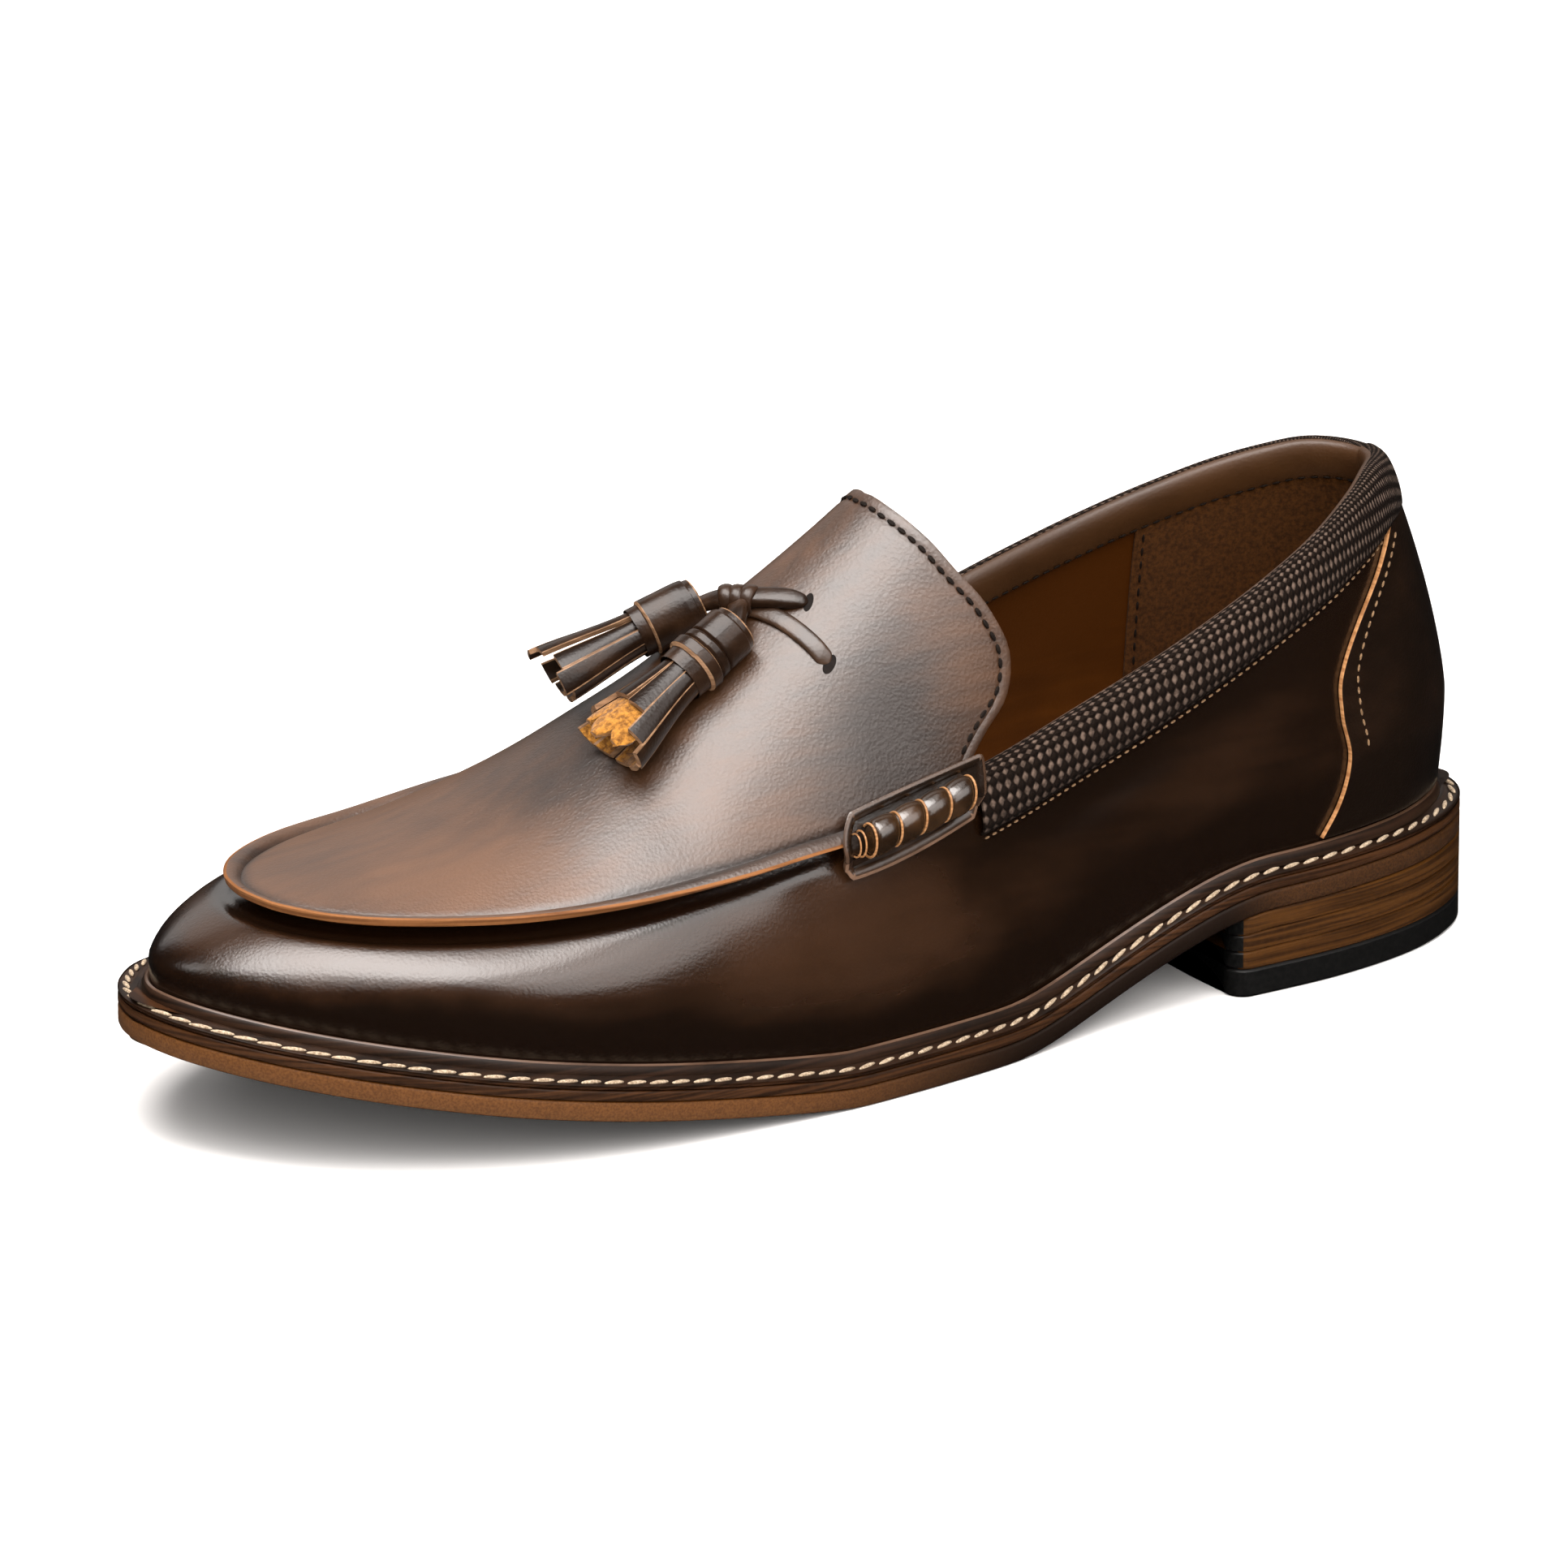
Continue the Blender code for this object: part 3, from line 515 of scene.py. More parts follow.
def thicken(piece, thickness, outward, finishes, edge=0.0):
    """Gives a sheet its thickness, finishes for face, back and cut edge, and softened edges."""
    for finish in finishes:
        piece.data.materials.append(finish)
    wall = piece.modifiers.new("thickness", "SOLIDIFY")
    wall.thickness = thickness * MM
    wall.offset = 1.0 if outward else -1.0
    wall.use_quality_normals = True
    wall.material_offset = 1
    wall.material_offset_rim = 2
    apply_all(piece)
    if edge:
        soften = piece.modifiers.new("edge", "BEVEL")
        soften.width = edge * MM
        soften.segments = 2
        soften.limit_method = "ANGLE"
        soften.angle_limit = math.radians(50)
        apply_all(piece)


def bare_edges(piece, finish):
    """Gives the faces marked as cut the finish of a cut edge."""
    marks = np.empty(len(piece.data.vertices))
    piece.data.attributes["cut"].data.foreach_get("value", marks)
    for face in piece.data.polygons:
        if marks[list(face.vertices)].mean() > 0.6:
            face.material_index = finish


def second_finish(piece, finish, chosen):
    """Gives the faces that are chosen one more finish."""
    piece.data.materials.append(finish)
    for face in piece.data.polygons:
        if chosen(face):
            face.material_index = len(piece.data.materials) - 1


def dress(piece, slot, nodes, *finishes, smooth=40.0):
    """Smooths a piece, gives it its finishes and sets it on the shoe."""
    bpy.ops.object.select_all(action="DESELECT")
    bpy.context.view_layer.objects.active = piece
    piece.select_set(True)
    bpy.ops.object.shade_smooth_by_angle(angle=math.radians(smooth))
    for finish in finishes:
        piece.data.materials.append(finish)
    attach(piece, "root")
    if nodes:
        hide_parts(*nodes)
    return piece


def copies_of(name, pattern, stands):
    """One mesh of copies of a small shape, each turned and set at its own stand."""
    corners = np.array([vertex.co for vertex in pattern.data.vertices])
    faces = [list(face.vertices) for face in pattern.data.polygons]
    points, all_faces = [], []
    for place, along, across, out, scale in stands:
        turned = np.column_stack([along, across, out])
        start = len(points) * len(corners)
        points.append(placed(place) + (corners * scale) @ turned.T)
        all_faces += [[start + k for k in face] for face in faces]
    mesh = bpy.data.meshes.new(name)
    mesh.from_pydata(np.vstack(points).tolist(), [], all_faces)
    piece = bpy.data.objects.new(name, mesh)
    bpy.context.scene.collection.objects.link(piece)
    bpy.data.objects.remove(pattern)
    return piece


def stretch(size):
    """Stretches the active shape about its middle."""
    bpy.ops.object.mode_set(mode="EDIT")
    bpy.ops.mesh.select_all(action="SELECT")
    bpy.ops.transform.resize(value=size)
    bpy.ops.object.mode_set(mode="OBJECT")


def stitch_shape(length, width, height, segments=8):
    """One stitch: a grain of thread, pinched at its ends."""
    bpy.ops.object.select_all(action="DESELECT")
    bpy.ops.mesh.primitive_uv_sphere_add(segments=segments, ring_count=6, radius=0.5)
    stitch = bpy.context.object
    bpy.ops.object.mode_set(mode="EDIT")
    bpy.ops.mesh.select_all(action="SELECT")
    bpy.ops.transform.rotate(
        value=math.pi / 2, orient_axis="Y", center_override=(0.0, 0.0, 0.0)
    )
    bpy.ops.object.mode_set(mode="OBJECT")
    stretch((length * MM, width * MM, height * MM))
    return stitch


def even_places(path, pitch):
    """Places at an even pitch along a line, each with its heading; path rows are place and out."""
    points = np.array([row[0] for row in path])
    outs = np.array([row[1] for row in path])
    walked = np.concatenate([[0], np.cumsum(np.linalg.norm(np.diff(points, axis=0), axis=1))])
    count = max(2, int(round(walked[-1] / pitch)))
    stations = (np.arange(count) + 0.5) * walked[-1] / count
    found = []
    for station in stations:
        place = np.array([np.interp(station, walked, points[:, k]) for k in range(3)])
        ahead = np.array([np.interp(station + 0.5, walked, points[:, k]) for k in range(3)])
        behind = np.array([np.interp(station - 0.5, walked, points[:, k]) for k in range(3)])
        out = np.array([np.interp(station, walked, outs[:, k]) for k in range(3)])
        along = ahead - behind
        along /= np.linalg.norm(along)
        out -= along * (out @ along)
        out /= np.linalg.norm(out)
        found.append((place, along, np.cross(out, along), out))
    return found


def sew(name, path, pitch, stitch, lift=0.0, slant=0.0):
    """A row of stitches along a line, each lifted off it and slanted where asked."""
    stands = []
    for place, along, across, out in even_places(path, pitch):
        turned = along * math.cos(slant) + across * math.sin(slant)
        stands.append((place + out * lift, turned, np.cross(out, turned), out, 1.0))
    return copies_of(name, stitch, stands)


# Finishes


def put(tree, kind, settings=None, inputs=None):
    """A node with its settings; an input is a plain value or another node's output."""
    made = tree.nodes.new(kind)
    for name, value in (settings or {}).items():
        setattr(made, name, value)
    for name, value in (inputs or {}).items():
        if isinstance(value, bpy.types.NodeSocket):
            tree.links.new(value, made.inputs[name])
        else:
            made.inputs[name].default_value = value
    return made


def calculate(tree, operation, *values):
    """Result of one sum."""
    made = put(tree, "ShaderNodeMath", {"operation": operation}, dict(enumerate(values)))
    return made.outputs[0]


def blended(tree, amount, first, second):
    """Mix of two colours."""
    made = put(tree, "ShaderNodeMix", {"data_type": "RGBA"}, {0: amount, 6: first, 7: second})
    return made.outputs[2]


def ranged(tree, value, low, high, to_low, to_high):
    """A value moved from one range to another and kept inside it."""
    made = put(
        tree, "ShaderNodeMapRange", {"interpolation_type": "SMOOTHSTEP"},
        {0: value, 1: low, 2: high, 3: to_low, 4: to_high},
    )
    return made.outputs[0]


def noise(tree, vector, scale, detail, roughness=0.5):
    """Cloudy noise of a given fineness."""
    made = put(
        tree, "ShaderNodeTexNoise", None,
        {"Vector": vector, "Scale": scale, "Detail": detail, "Roughness": roughness},
    )
    return made.outputs["Fac"]


def new_group(name, inputs, outputs):
    """An effect that several finishes share."""
    tree = bpy.data.node_groups.new(name, "ShaderNodeTree")
    for label, kind, start in inputs:
        socket = tree.interface.new_socket(label, in_out="INPUT", socket_type=kind)
        if start is not None:
            socket.default_value = start
    for label, kind in outputs:
        tree.interface.new_socket(label, in_out="OUTPUT", socket_type=kind)
    return tree, tree.nodes.new("NodeGroupInput").outputs, tree.nodes.new("NodeGroupOutput").inputs


VECTOR, VALUE, COLOUR = "NodeSocketVector", "NodeSocketFloat", "NodeSocketColor"


def grain_group():
    """Fine pores and pebble of dressed leather."""
    tree, given, result = new_group(
        "leather grain", [("Vector", VECTOR, None), ("Fineness", VALUE, 900.0)], [("Height", VALUE)]
    )
    cells = put(
        tree, "ShaderNodeTexVoronoi", {"feature": "SMOOTH_F1"},
        {"Vector": given["Vector"], "Scale": given["Fineness"], "Smoothness": 0.6},
    )
    pores = noise(tree, given["Vector"], calculate(tree, "MULTIPLY", given["Fineness"], 2.3), 3.0)
    both = calculate(tree, "MULTIPLY_ADD", pores, 0.6, cells.outputs["Distance"])
    tree.links.new(both, result["Height"])
    return tree


def patina_and_shade_group():
    """Hand-burnished colour: cloudy patches and brush strokes, darker where the shade value is laid on; that
    value holds both burnish and painted shade.
    """
    tree, given, result = new_group(
        "burnished patina and painted shade",
        [("Vector", VECTOR, None), ("Dark", COLOUR, None), ("Light", COLOUR, None),
         ("Shade", VALUE, 0.0), ("Cloud size", VALUE, 26.0)],
        [("Colour", COLOUR), ("Rubbed and shaded", VALUE)],
    )
    clouds = noise(tree, given["Vector"], given["Cloud size"], 3.0, 0.45)
    drawn = put(tree, "ShaderNodeMapping", None, {"Vector": given["Vector"], "Scale": (45.0, 330.0, 330.0)})
    strokes = noise(tree, drawn.outputs[0], 1.0, 4.0)
    cloudy = ranged(tree, clouds, 0.2, 0.8, 0.08, 0.72)
    stroked = calculate(tree, "MULTIPLY_ADD", strokes, 0.6, cloudy)
    # The shade value darkens the colour: burnish together with painted shade.
    lit = calculate(tree, "SUBTRACT", stroked, calculate(tree, "MULTIPLY", given["Shade"], 1.5))
    rubbed_and_shaded = ranged(tree, lit, -0.15, 1.15, 0.0, 1.0)
    tree.links.new(blended(tree, rubbed_and_shaded, given["Dark"], given["Light"]), result["Colour"])
    tree.links.new(rubbed_and_shaded, result["Rubbed and shaded"])
    return tree


def layers_group():
    """Pressed layers seen at a cut edge: fine lines that run level, slightly wavy."""
    tree, given, result = new_group(
        "cut layers",
        [("Vector", VECTOR, None), ("Layers", VALUE, 900.0)],
        [("Lines", VALUE), ("Height", VALUE)],
    )
    split = put(tree, "ShaderNodeSeparateXYZ", None, {0: given["Vector"]})
    wander = noise(tree, given["Vector"], 40.0, 2.0)
    level = calculate(tree, "MULTIPLY_ADD", wander, 0.0012, split.outputs["Z"])
    flat = put(
        tree, "ShaderNodeCombineXYZ", None,
        {0: calculate(tree, "MULTIPLY", split.outputs["X"], 30.0),
         1: calculate(tree, "MULTIPLY", split.outputs["Y"], 30.0),
         2: calculate(tree, "MULTIPLY", level, given["Layers"])},
    )
    lines = noise(tree, flat.outputs[0], 1.0, 4.0)
    tree.links.new(ranged(tree, lines, 0.36, 0.64, 0.0, 1.0), result["Lines"])
    tree.links.new(lines, result["Height"])
    return tree


def weave_group():
    """Plain weave laid on the bias: yarns that pass over and under each other."""
    tree, given, result = new_group(
        "bias weave",
        [("Vector", VECTOR, None), ("Along", VALUE, 120.0), ("Across", VALUE, 8.0)],
        [("Over", VALUE), ("Height", VALUE)],
    )
    split = put(tree, "ShaderNodeSeparateXYZ", None, {0: given["Vector"]})
    along = calculate(tree, "MULTIPLY", split.outputs["X"], given["Along"])
    across = calculate(tree, "MULTIPLY", split.outputs["Y"], given["Across"])
    first = calculate(tree, "ADD", along, across)
    second = calculate(tree, "SUBTRACT", along, across)
    one = calculate(tree, "SINE", calculate(tree, "MULTIPLY", first, 1.12 * math.pi))
    two = calculate(tree, "SINE", calculate(tree, "MULTIPLY", second, 0.92 * math.pi))
    checks = calculate(tree, "MULTIPLY", one, two)
    tree.links.new(ranged(tree, checks, 0.0, 0.7, 0.0, 1.0), result["Over"])
    tree.links.new(calculate(tree, "ABSOLUTE", checks), result["Height"])
    return tree


GRAIN = grain_group()
PATINA_AND_SHADE = patina_and_shade_group()
LAYERS = layers_group()
WEAVE = weave_group()


def new_finish(name, roughness, coat=0.0, coat_roughness=0.2, specular=0.5, sheen=0.0):
    """A finish with its even values on the shader; returns its tree, shader and own coordinates."""
    finish = bpy.data.materials.new(name)
    finish.use_nodes = True
    tree = finish.node_tree
    shader = tree.nodes["Principled BSDF"]
    shader.inputs["Roughness"].default_value = roughness
    shader.inputs["Coat Weight"].default_value = coat
    shader.inputs["Coat Roughness"].default_value = coat_roughness
    shader.inputs["Specular IOR Level"].default_value = specular
    shader.inputs["Sheen Weight"].default_value = sheen
    coordinates = put(tree, "ShaderNodeTexCoord").outputs
    return finish, tree, shader, coordinates


def use(tree, group, **inputs):
    """A shared effect placed in a finish."""
    labels = {name.replace("_", " "): value for name, value in inputs.items()}
    return put(tree, "ShaderNodeGroup", {"node_tree": group}, labels).outputs


def emboss(tree, shader, height, depth, strength):
    """Relief on the surface."""
    relief = put(
        tree, "ShaderNodeBump", None, {"Height": height, "Distance": depth * MM, "Strength": strength}
    )
    tree.links.new(relief.outputs[0], shader.inputs["Normal"])


def colour_between(tree, shader, amount, dark, light):
    """Base colour between a dark and a light tone."""
    tree.links.new(blended(tree, amount, (*dark, 1.0), (*light, 1.0)), shader.inputs["Base Color"])


def burnished(
    name, dark, light, roughness=0.36, coat=0.25, clouds=26.0, depth=0.06, specular=0.6, coat_roughness=0.2,
    fineness=1500.0,
):
    """Glossy burnished calf, darker where the shade attribute lays on burnish and painted shade."""
    finish, tree, shader, given = new_finish(name, roughness, coat, coat_roughness, specular)
    shade = put(tree, "ShaderNodeAttribute", {"attribute_name": "shade"}).outputs["Fac"]
    colour = use(
        tree, PATINA_AND_SHADE, Vector=given["Object"], Dark=(*dark, 1.0), Light=(*light, 1.0),
        Shade=shade, Cloud_size=clouds,
    )
    tree.links.new(colour["Colour"], shader.inputs["Base Color"])
    worn = ranged(tree, colour["Rubbed and shaded"], 0.0, 1.0, roughness - 0.05, roughness + 0.06)
    tree.links.new(worn, shader.inputs["Roughness"])
    grain = use(tree, GRAIN, Vector=given["Object"], Fineness=fineness)
    emboss(tree, shader, grain["Height"], depth, 0.6)
    return finish


def cut_edge(name, dark, light, roughness=0.55, layers=900.0, depth=0.15, coat=0.0):
    """Cut leather edge with pressed layers."""
    finish, tree, shader, given = new_finish(name, roughness, coat, 0.3, 0.15)
    lines = use(tree, LAYERS, Vector=given["Object"], Layers=layers)
    layered = calculate(tree, "MULTIPLY", lines["Lines"], 0.7)
    tone = calculate(tree, "MULTIPLY_ADD", noise(tree, given["Object"], 900.0, 2.0), 0.4, layered)
    colour_between(tree, shader, tone, dark, light)
    emboss(tree, shader, lines["Height"], depth, 0.5)
    return finish


def napped(name, dark, light, roughness=0.9, fineness=700.0, sheen=0.3, depth=0.25):
    """Suede or thread: short fuzzy nap in two tones."""
    finish, tree, shader, given = new_finish(name, roughness, sheen=sheen, specular=0.2)
    nap = noise(tree, given["Object"], fineness, 4.0, 0.65)
    colour_between(tree, shader, ranged(tree, nap, 0.3, 0.7, 0.0, 1.0), dark, light)
    emboss(tree, shader, nap, depth, 0.6)
    return finish


def woven_finish():
    """Two-tone woven band, darkened toward its lower edge as painted shade."""
    finish, tree, shader, given = new_finish("woven band", 0.85, specular=0.12)
    cloth = use(tree, WEAVE, Vector=given["UV"], Along=190.0, Across=9.4)
    fuzz = ranged(tree, noise(tree, given["Object"], 900.0, 3.0), 0.30, 0.66, 0.3, 1.0)
    height = put(tree, "ShaderNodeSeparateXYZ", None, {0: given["UV"]}).outputs["Y"]
    tone = calculate(tree, "MULTIPLY", cloth["Over"], fuzz)
    # Painted shade on the lower part of the band, which turns down.
    tone = calculate(tree, "MULTIPLY", tone, ranged(tree, height, 0.10, 0.42, 0.08, 1.0))
    colour_between(tree, shader, tone, (0.0055, 0.0028, 0.0016), (0.112, 0.078, 0.060))
    emboss(tree, shader, cloth["Height"], 0.5, 0.9)
    return finish


def outsole_finish():
    """Even tan leather edge, darker at the seat, with painted shade through the waist where the edge curves
    under.
    """
    finish, tree, shader, given = new_finish("outsole leather", 0.6, specular=0.25)
    speck = noise(tree, given["Object"], 2200.0, 3.0)
    ahead = put(tree, "ShaderNodeSeparateXYZ", None, {0: given["Object"]}).outputs["X"]
    tone = ranged(tree, speck, 0.3, 0.7, 0.0, 1.0)
    tan = blended(tree, tone, (0.058, 0.0200, 0.0032, 1.0), (0.098, 0.0360, 0.0066, 1.0))
    seat = blended(tree, tone, (0.022, 0.0074, 0.0010, 1.0), (0.046, 0.0165, 0.0024, 1.0))
    forepart = ranged(tree, ahead, -0.060, 0.0, 0.0, 1.0)
    back = ranged(tree, ahead, -0.095, -0.075, 0.0, 1.0)
    front = ranged(tree, ahead, -0.030, 0.045, 1.0, 0.0)
    waist = calculate(tree, "MULTIPLY", back, front)
    # Painted shade through the waist, where the edge curves under the arch.
    shaded_through_waist = blended(tree, waist, blended(tree, forepart, seat, tan), (0.0075, 0.0028, 0.0008, 1.0))
    tree.links.new(shaded_through_waist, shader.inputs["Base Color"])
    emboss(tree, shader, speck, 0.1, 0.35)
    return finish


def rubber_finish():
    """Black rubber with a faint pebble."""
    finish, tree, shader, given = new_finish("black rubber", 0.55, specular=0.4)
    speck = noise(tree, given["Object"], 1200.0, 3.0)
    tone = ranged(tree, speck, 0.3, 0.7, 0.0, 1.0)
    colour_between(tree, shader, tone, (0.0012, 0.0012, 0.0012), (0.0036, 0.0034, 0.0032))
    emboss(tree, shader, speck, 0.1, 0.4)
    return finish


WALL_LEATHER = burnished(
    "wall leather", (0.0050, 0.0019, 0.0006), (0.029, 0.0110, 0.0034), roughness=0.27, coat=0.48
)
VAMP_LEATHER = burnished(
    "vamp leather", (0.011, 0.0041, 0.0012), (0.091, 0.0350, 0.0096), roughness=0.50, coat=0.52,
    clouds=24.0, depth=0.15, specular=0.85, coat_roughness=0.38, fineness=1350.0,
)
COUNTER_LEATHER = burnished("counter leather", (0.0055, 0.0023, 0.0008), (0.030, 0.0120, 0.0042))
TAB_LEATHER = burnished(
    "tab leather", (0.007, 0.0034, 0.0016), (0.040, 0.019, 0.009), roughness=0.32, coat=0.3, clouds=80.0
)
# Pale rim colour: a painted highlight along the tab plate's raised edge.
TAB_RIM_HIGHLIGHT = burnished(
    "tab rim painted highlight", (0.040, 0.021, 0.012), (0.150, 0.083, 0.050), roughness=0.30, coat=0.4, clouds=120.0
)
ROLL_LEATHER = burnished(
    "rolled lace", (0.011, 0.0048, 0.0015), (0.072, 0.032, 0.0100), roughness=0.27, coat=0.45,
    clouds=120.0, depth=0.04, specular=0.8,
)
TASSEL_LEATHER = burnished(
    "tassel leather", (0.008, 0.0036, 0.0017), (0.050, 0.0235, 0.0112), roughness=0.34, coat=0.1,
    clouds=120.0, depth=0.06, specular=0.3,
)
LACE_LEATHER = burnished(
    "lace leather", (0.014, 0.0070, 0.0038), (0.065, 0.034, 0.019), roughness=0.34, coat=0.3,
    clouds=120.0, depth=0.05, specular=0.45,
)
KNOT_LEATHER = burnished(
    "knot leather", (0.006, 0.0026, 0.0012), (0.028, 0.0125, 0.0056), roughness=0.34, coat=0.2,
    clouds=160.0, depth=0.06, specular=0.4,
)
LINING = burnished(
    "lining leather", (0.040, 0.0108, 0.0006), (0.112, 0.034, 0.0022), roughness=0.55, coat=0.0,
    clouds=30.0, specular=0.25,
)
FACING = burnished(
    "collar facing", (0.014, 0.0050, 0.0010), (0.046, 0.0180, 0.0044), roughness=0.45, coat=0.05, clouds=40.0
)
SOCK = burnished(
    "sock leather", (0.11, 0.042, 0.010), (0.26, 0.11, 0.034), roughness=0.55, coat=0.0, clouds=30.0
)
RAW_EDGE = cut_edge(
    "raw leather edge", (0.080, 0.028, 0.0075), (0.21, 0.085, 0.028), roughness=0.6, layers=1500.0
)
PALE_CUT = cut_edge("pale cut edge", (0.20, 0.082, 0.028), (0.44, 0.22, 0.093), layers=1500.0)
PALE_EDGE = cut_edge(
    "strip edge", (0.10, 0.053, 0.027), (0.26, 0.150, 0.083), roughness=0.45, layers=1500.0,
    depth=0.1, coat=0.1,
)
WELT_LEATHER = cut_edge(
    "welt leather", (0.006, 0.0024, 0.0009), (0.038, 0.0138, 0.0042), roughness=0.48, layers=1400.0,
    depth=0.12, coat=0.05,
)
# Painted shade for the welt's top and the rib's sides.
WELT_SHADOW = cut_edge(
    "welt painted shade", (0.004, 0.002, 0.001), (0.022, 0.010, 0.005), roughness=0.5, layers=1400.0,
    depth=0.1, coat=0.1,
)
# Pale glossy rib top: its colour is a painted highlight.
RIB_HIGHLIGHT = cut_edge(
    "welt rib painted highlight", (0.040, 0.020, 0.011), (0.105, 0.060, 0.038), roughness=0.24, layers=600.0,
    depth=0.03, coat=0.6,
)
MIDSOLE_LEATHER = cut_edge(
    "midsole leather", (0.008, 0.0030, 0.0010), (0.046, 0.0170, 0.0048), roughness=0.5, layers=1600.0,
    depth=0.2, coat=0.05,
)
STACK_LEATHER = cut_edge(
    "heel stack", (0.013, 0.0042, 0.0004), (0.058, 0.0205, 0.0019), layers=1500.0, depth=0.12
)
COPPER_THREAD = cut_edge(
    "waxed thread", (0.15, 0.064, 0.021), (0.36, 0.18, 0.075), roughness=0.28, layers=2600.0,
    depth=0.06, coat=0.4,
)
# Near-black sheet for the lace slots: painted shadow.
SLOT_SHADOW = napped(
    "slot", (0.003, 0.002, 0.0015), (0.007, 0.004, 0.003), roughness=0.8, fineness=900.0, sheen=0.0, depth=0.1
)
GRIP = napped(
    "heel grip suede", (0.024, 0.0082, 0.0013), (0.060, 0.0215, 0.0040), fineness=1100.0, sheen=0.03
)
CREAM_THREAD = napped(
    "cream thread", (0.17, 0.115, 0.070), (0.50, 0.40, 0.285), roughness=0.7, fineness=1800.0,
    sheen=0.05, depth=0.12,
)
BROWN_THREAD = napped(
    "brown thread", (0.0025, 0.0014, 0.0008), (0.009, 0.005, 0.003), roughness=0.8, fineness=2400.0,
    sheen=0.0, depth=0.1,
)
TAN_THREAD = napped(
    "tan thread", (0.085, 0.045, 0.020), (0.23, 0.140, 0.073), roughness=0.7, fineness=2400.0,
    sheen=0.05, depth=0.1,
)
GOLD_SUEDE = napped(
    "golden suede", (0.095, 0.033, 0.0036), (0.38, 0.165, 0.024), fineness=900.0, sheen=0.15, depth=0.6
)
RUBBER = rubber_finish()
OUTSOLE_LEATHER = outsole_finish()
WOVEN = woven_finish()


# Upper

UNDER_APRON = 8.0
GROOVE_DEPTH = 1.1
GROOVE_EDGE = 0.6
GROOVE_REACH = 1.9
GROOVE_CLOSED = 0.35
FAR_BELOW = 60.0
LIP_RISE = 1.9
LIP_WIDTH = 1.6
LIP_STRIP = 7.0
LIP_SHARE = 0.34
COUNTER_THICK = 1.1


def wall_fold(t, length):
    """Depth of the soft folds at a place on the walls."""
    x, side = upper_x(t), station_at(t)[1]
    total = 0.0
    for fold in WALL_FOLDS:
        shifted = x - fold.x - fold.lean * (length - fold.up)
        strength = fold.height if side > 0 else 0.8 * fold.height
        total += strength * bell(shifted, 0.0, fold.along) * bell(length, fold.up, fold.rise)
    return total


def wall_top(t):
    """Length of wall that is seen: to the collar, or a little way under the apron."""
    if upper_x(t) > TONGUE_X:
        return seam_length(t) + UNDER_APRON * ease(upper_x(t), TONGUE_X, TONGUE_X + 12)
    return collar_length(t)


def lay_wall(u, v):
    """Walls all round, hollowed under the apron's edge and closed against its underside."""
    t = 2.0 * u
    length = wall_top(t) * paced(v, 0.6, 0.72)
    x = upper_x(t)
    front = ease(x, TAB_END - 6, TAB_END + 4)
    below = seam_length(t) - APRON_OVERHANG - length if x > TONGUE_X else FAR_BELOW
    closing = ease(-below, 1.0, 5.0)
    hollow = bell(below, GROOVE_EDGE, GROOVE_REACH) if below > GROOVE_EDGE else 1.0 - closing
    groove = (GROOVE_CLOSED * closing - GROOVE_DEPTH * hollow) * front
    proud = groove + wall_fold(t, length) * ease(below, 2.0, 8.0)
    # Shade on the walls: painted shadow in the groove under the apron's lip and just under the woven band;
    # darker toward the welt, burnish with painted shade; darker quarters toward the heel.
    low = bell(length, 0.0, 11.0)
    seam = bell(below, 0.0, 3.4) * front
    collar = 0.4 * bell(wall_top(t) - length, BAND_HEIGHT, 9.0) * ease(x, 160.0, 110.0)
    rear = 0.38 * ease(x, 165.0, 85.0)
    return on_upper(t, length), proud, min(1.2, low + seam + collar + rear)


def make_walls():
    """The lasted upper, lined inside."""
    piece = lay_sheet("lasted_upper", 320, 46, lay_wall)
    thicken(piece, WALL, False, (WALL_LEATHER, LINING, WALL_LEATHER), 0.3)
    dress(piece, "burnished_leather", ["upper"])


def apron_lip(edge):
    """Raised lip along the apron's edge, with a shallow valley inside it."""
    return LIP_RISE * math.exp(-((edge / LIP_WIDTH) ** 4)) - 0.3 * bell(edge, 3.0, 1.0)


def vamp_fold(x, y):
    """Depth of the soft hollows and swells on the vamp."""
    return sum(f.height * bell(x, f.x, f.along) * bell(y, f.y, f.across) for f in VAMP_FOLDS)


def lay_apron(u, v):
    """Apron and tongue from the outer seam over the ridge to the inner seam."""
    side = 1 if v <= 0.5 else -1
    across = 2 * v if side > 0 else 2 * (1 - v)
    first = 0.0 if side > 0 else 2.0
    last = station_of(TONGUE_X, side)
    t = first + (last - first) * paced(u, 0.9, 0.975)
    start = seam_length(t) - APRON_OVERHANG
    beyond = whole_length(t) - start - LIP_STRIP
    if across < LIP_SHARE:
        edge = LIP_STRIP * across / LIP_SHARE
    else:
        edge = LIP_STRIP + beyond * (across - LIP_SHARE) / (1 - LIP_SHARE)
    place = on_upper(t, start + edge)
    x = upper_x(t)
    seam = ease(x, TAB_START + 14, TAB_END + 6)
    free = x - TONGUE_X
    rolled = (0.15 * bell(free, 0.8, 0.7) - 0.2 * bell(free, 2.2, 0.6)) * ease(edge, 2.0, 6.0)
    proud = APRON_STAND + apron_lip(edge) * seam + vamp_fold(place[0], place[1]) + rolled
    # Painted shade in the valley inside the lip and in the hollow beside the tab; the tongue is toned darker
    # and the toe a little lighter.
    shade = 0.55 * bell(edge, 2.6, 1.6) * seam
    shade += 0.22 * ease(place[0], 230.0, 175.0) - 0.06 * bell(place[0], 252.0, 22.0)
    shade += 0.3 * bell(place[0], 151.0, 10.0) * bell(place[1], 33.0, 6.0)
    shade += 0.15 * bell(place[0], 205.0, 26.0) * bell(place[1], 4.0, 16.0)
    return place, proud, shade, seam > 0.5 and edge < 0.5


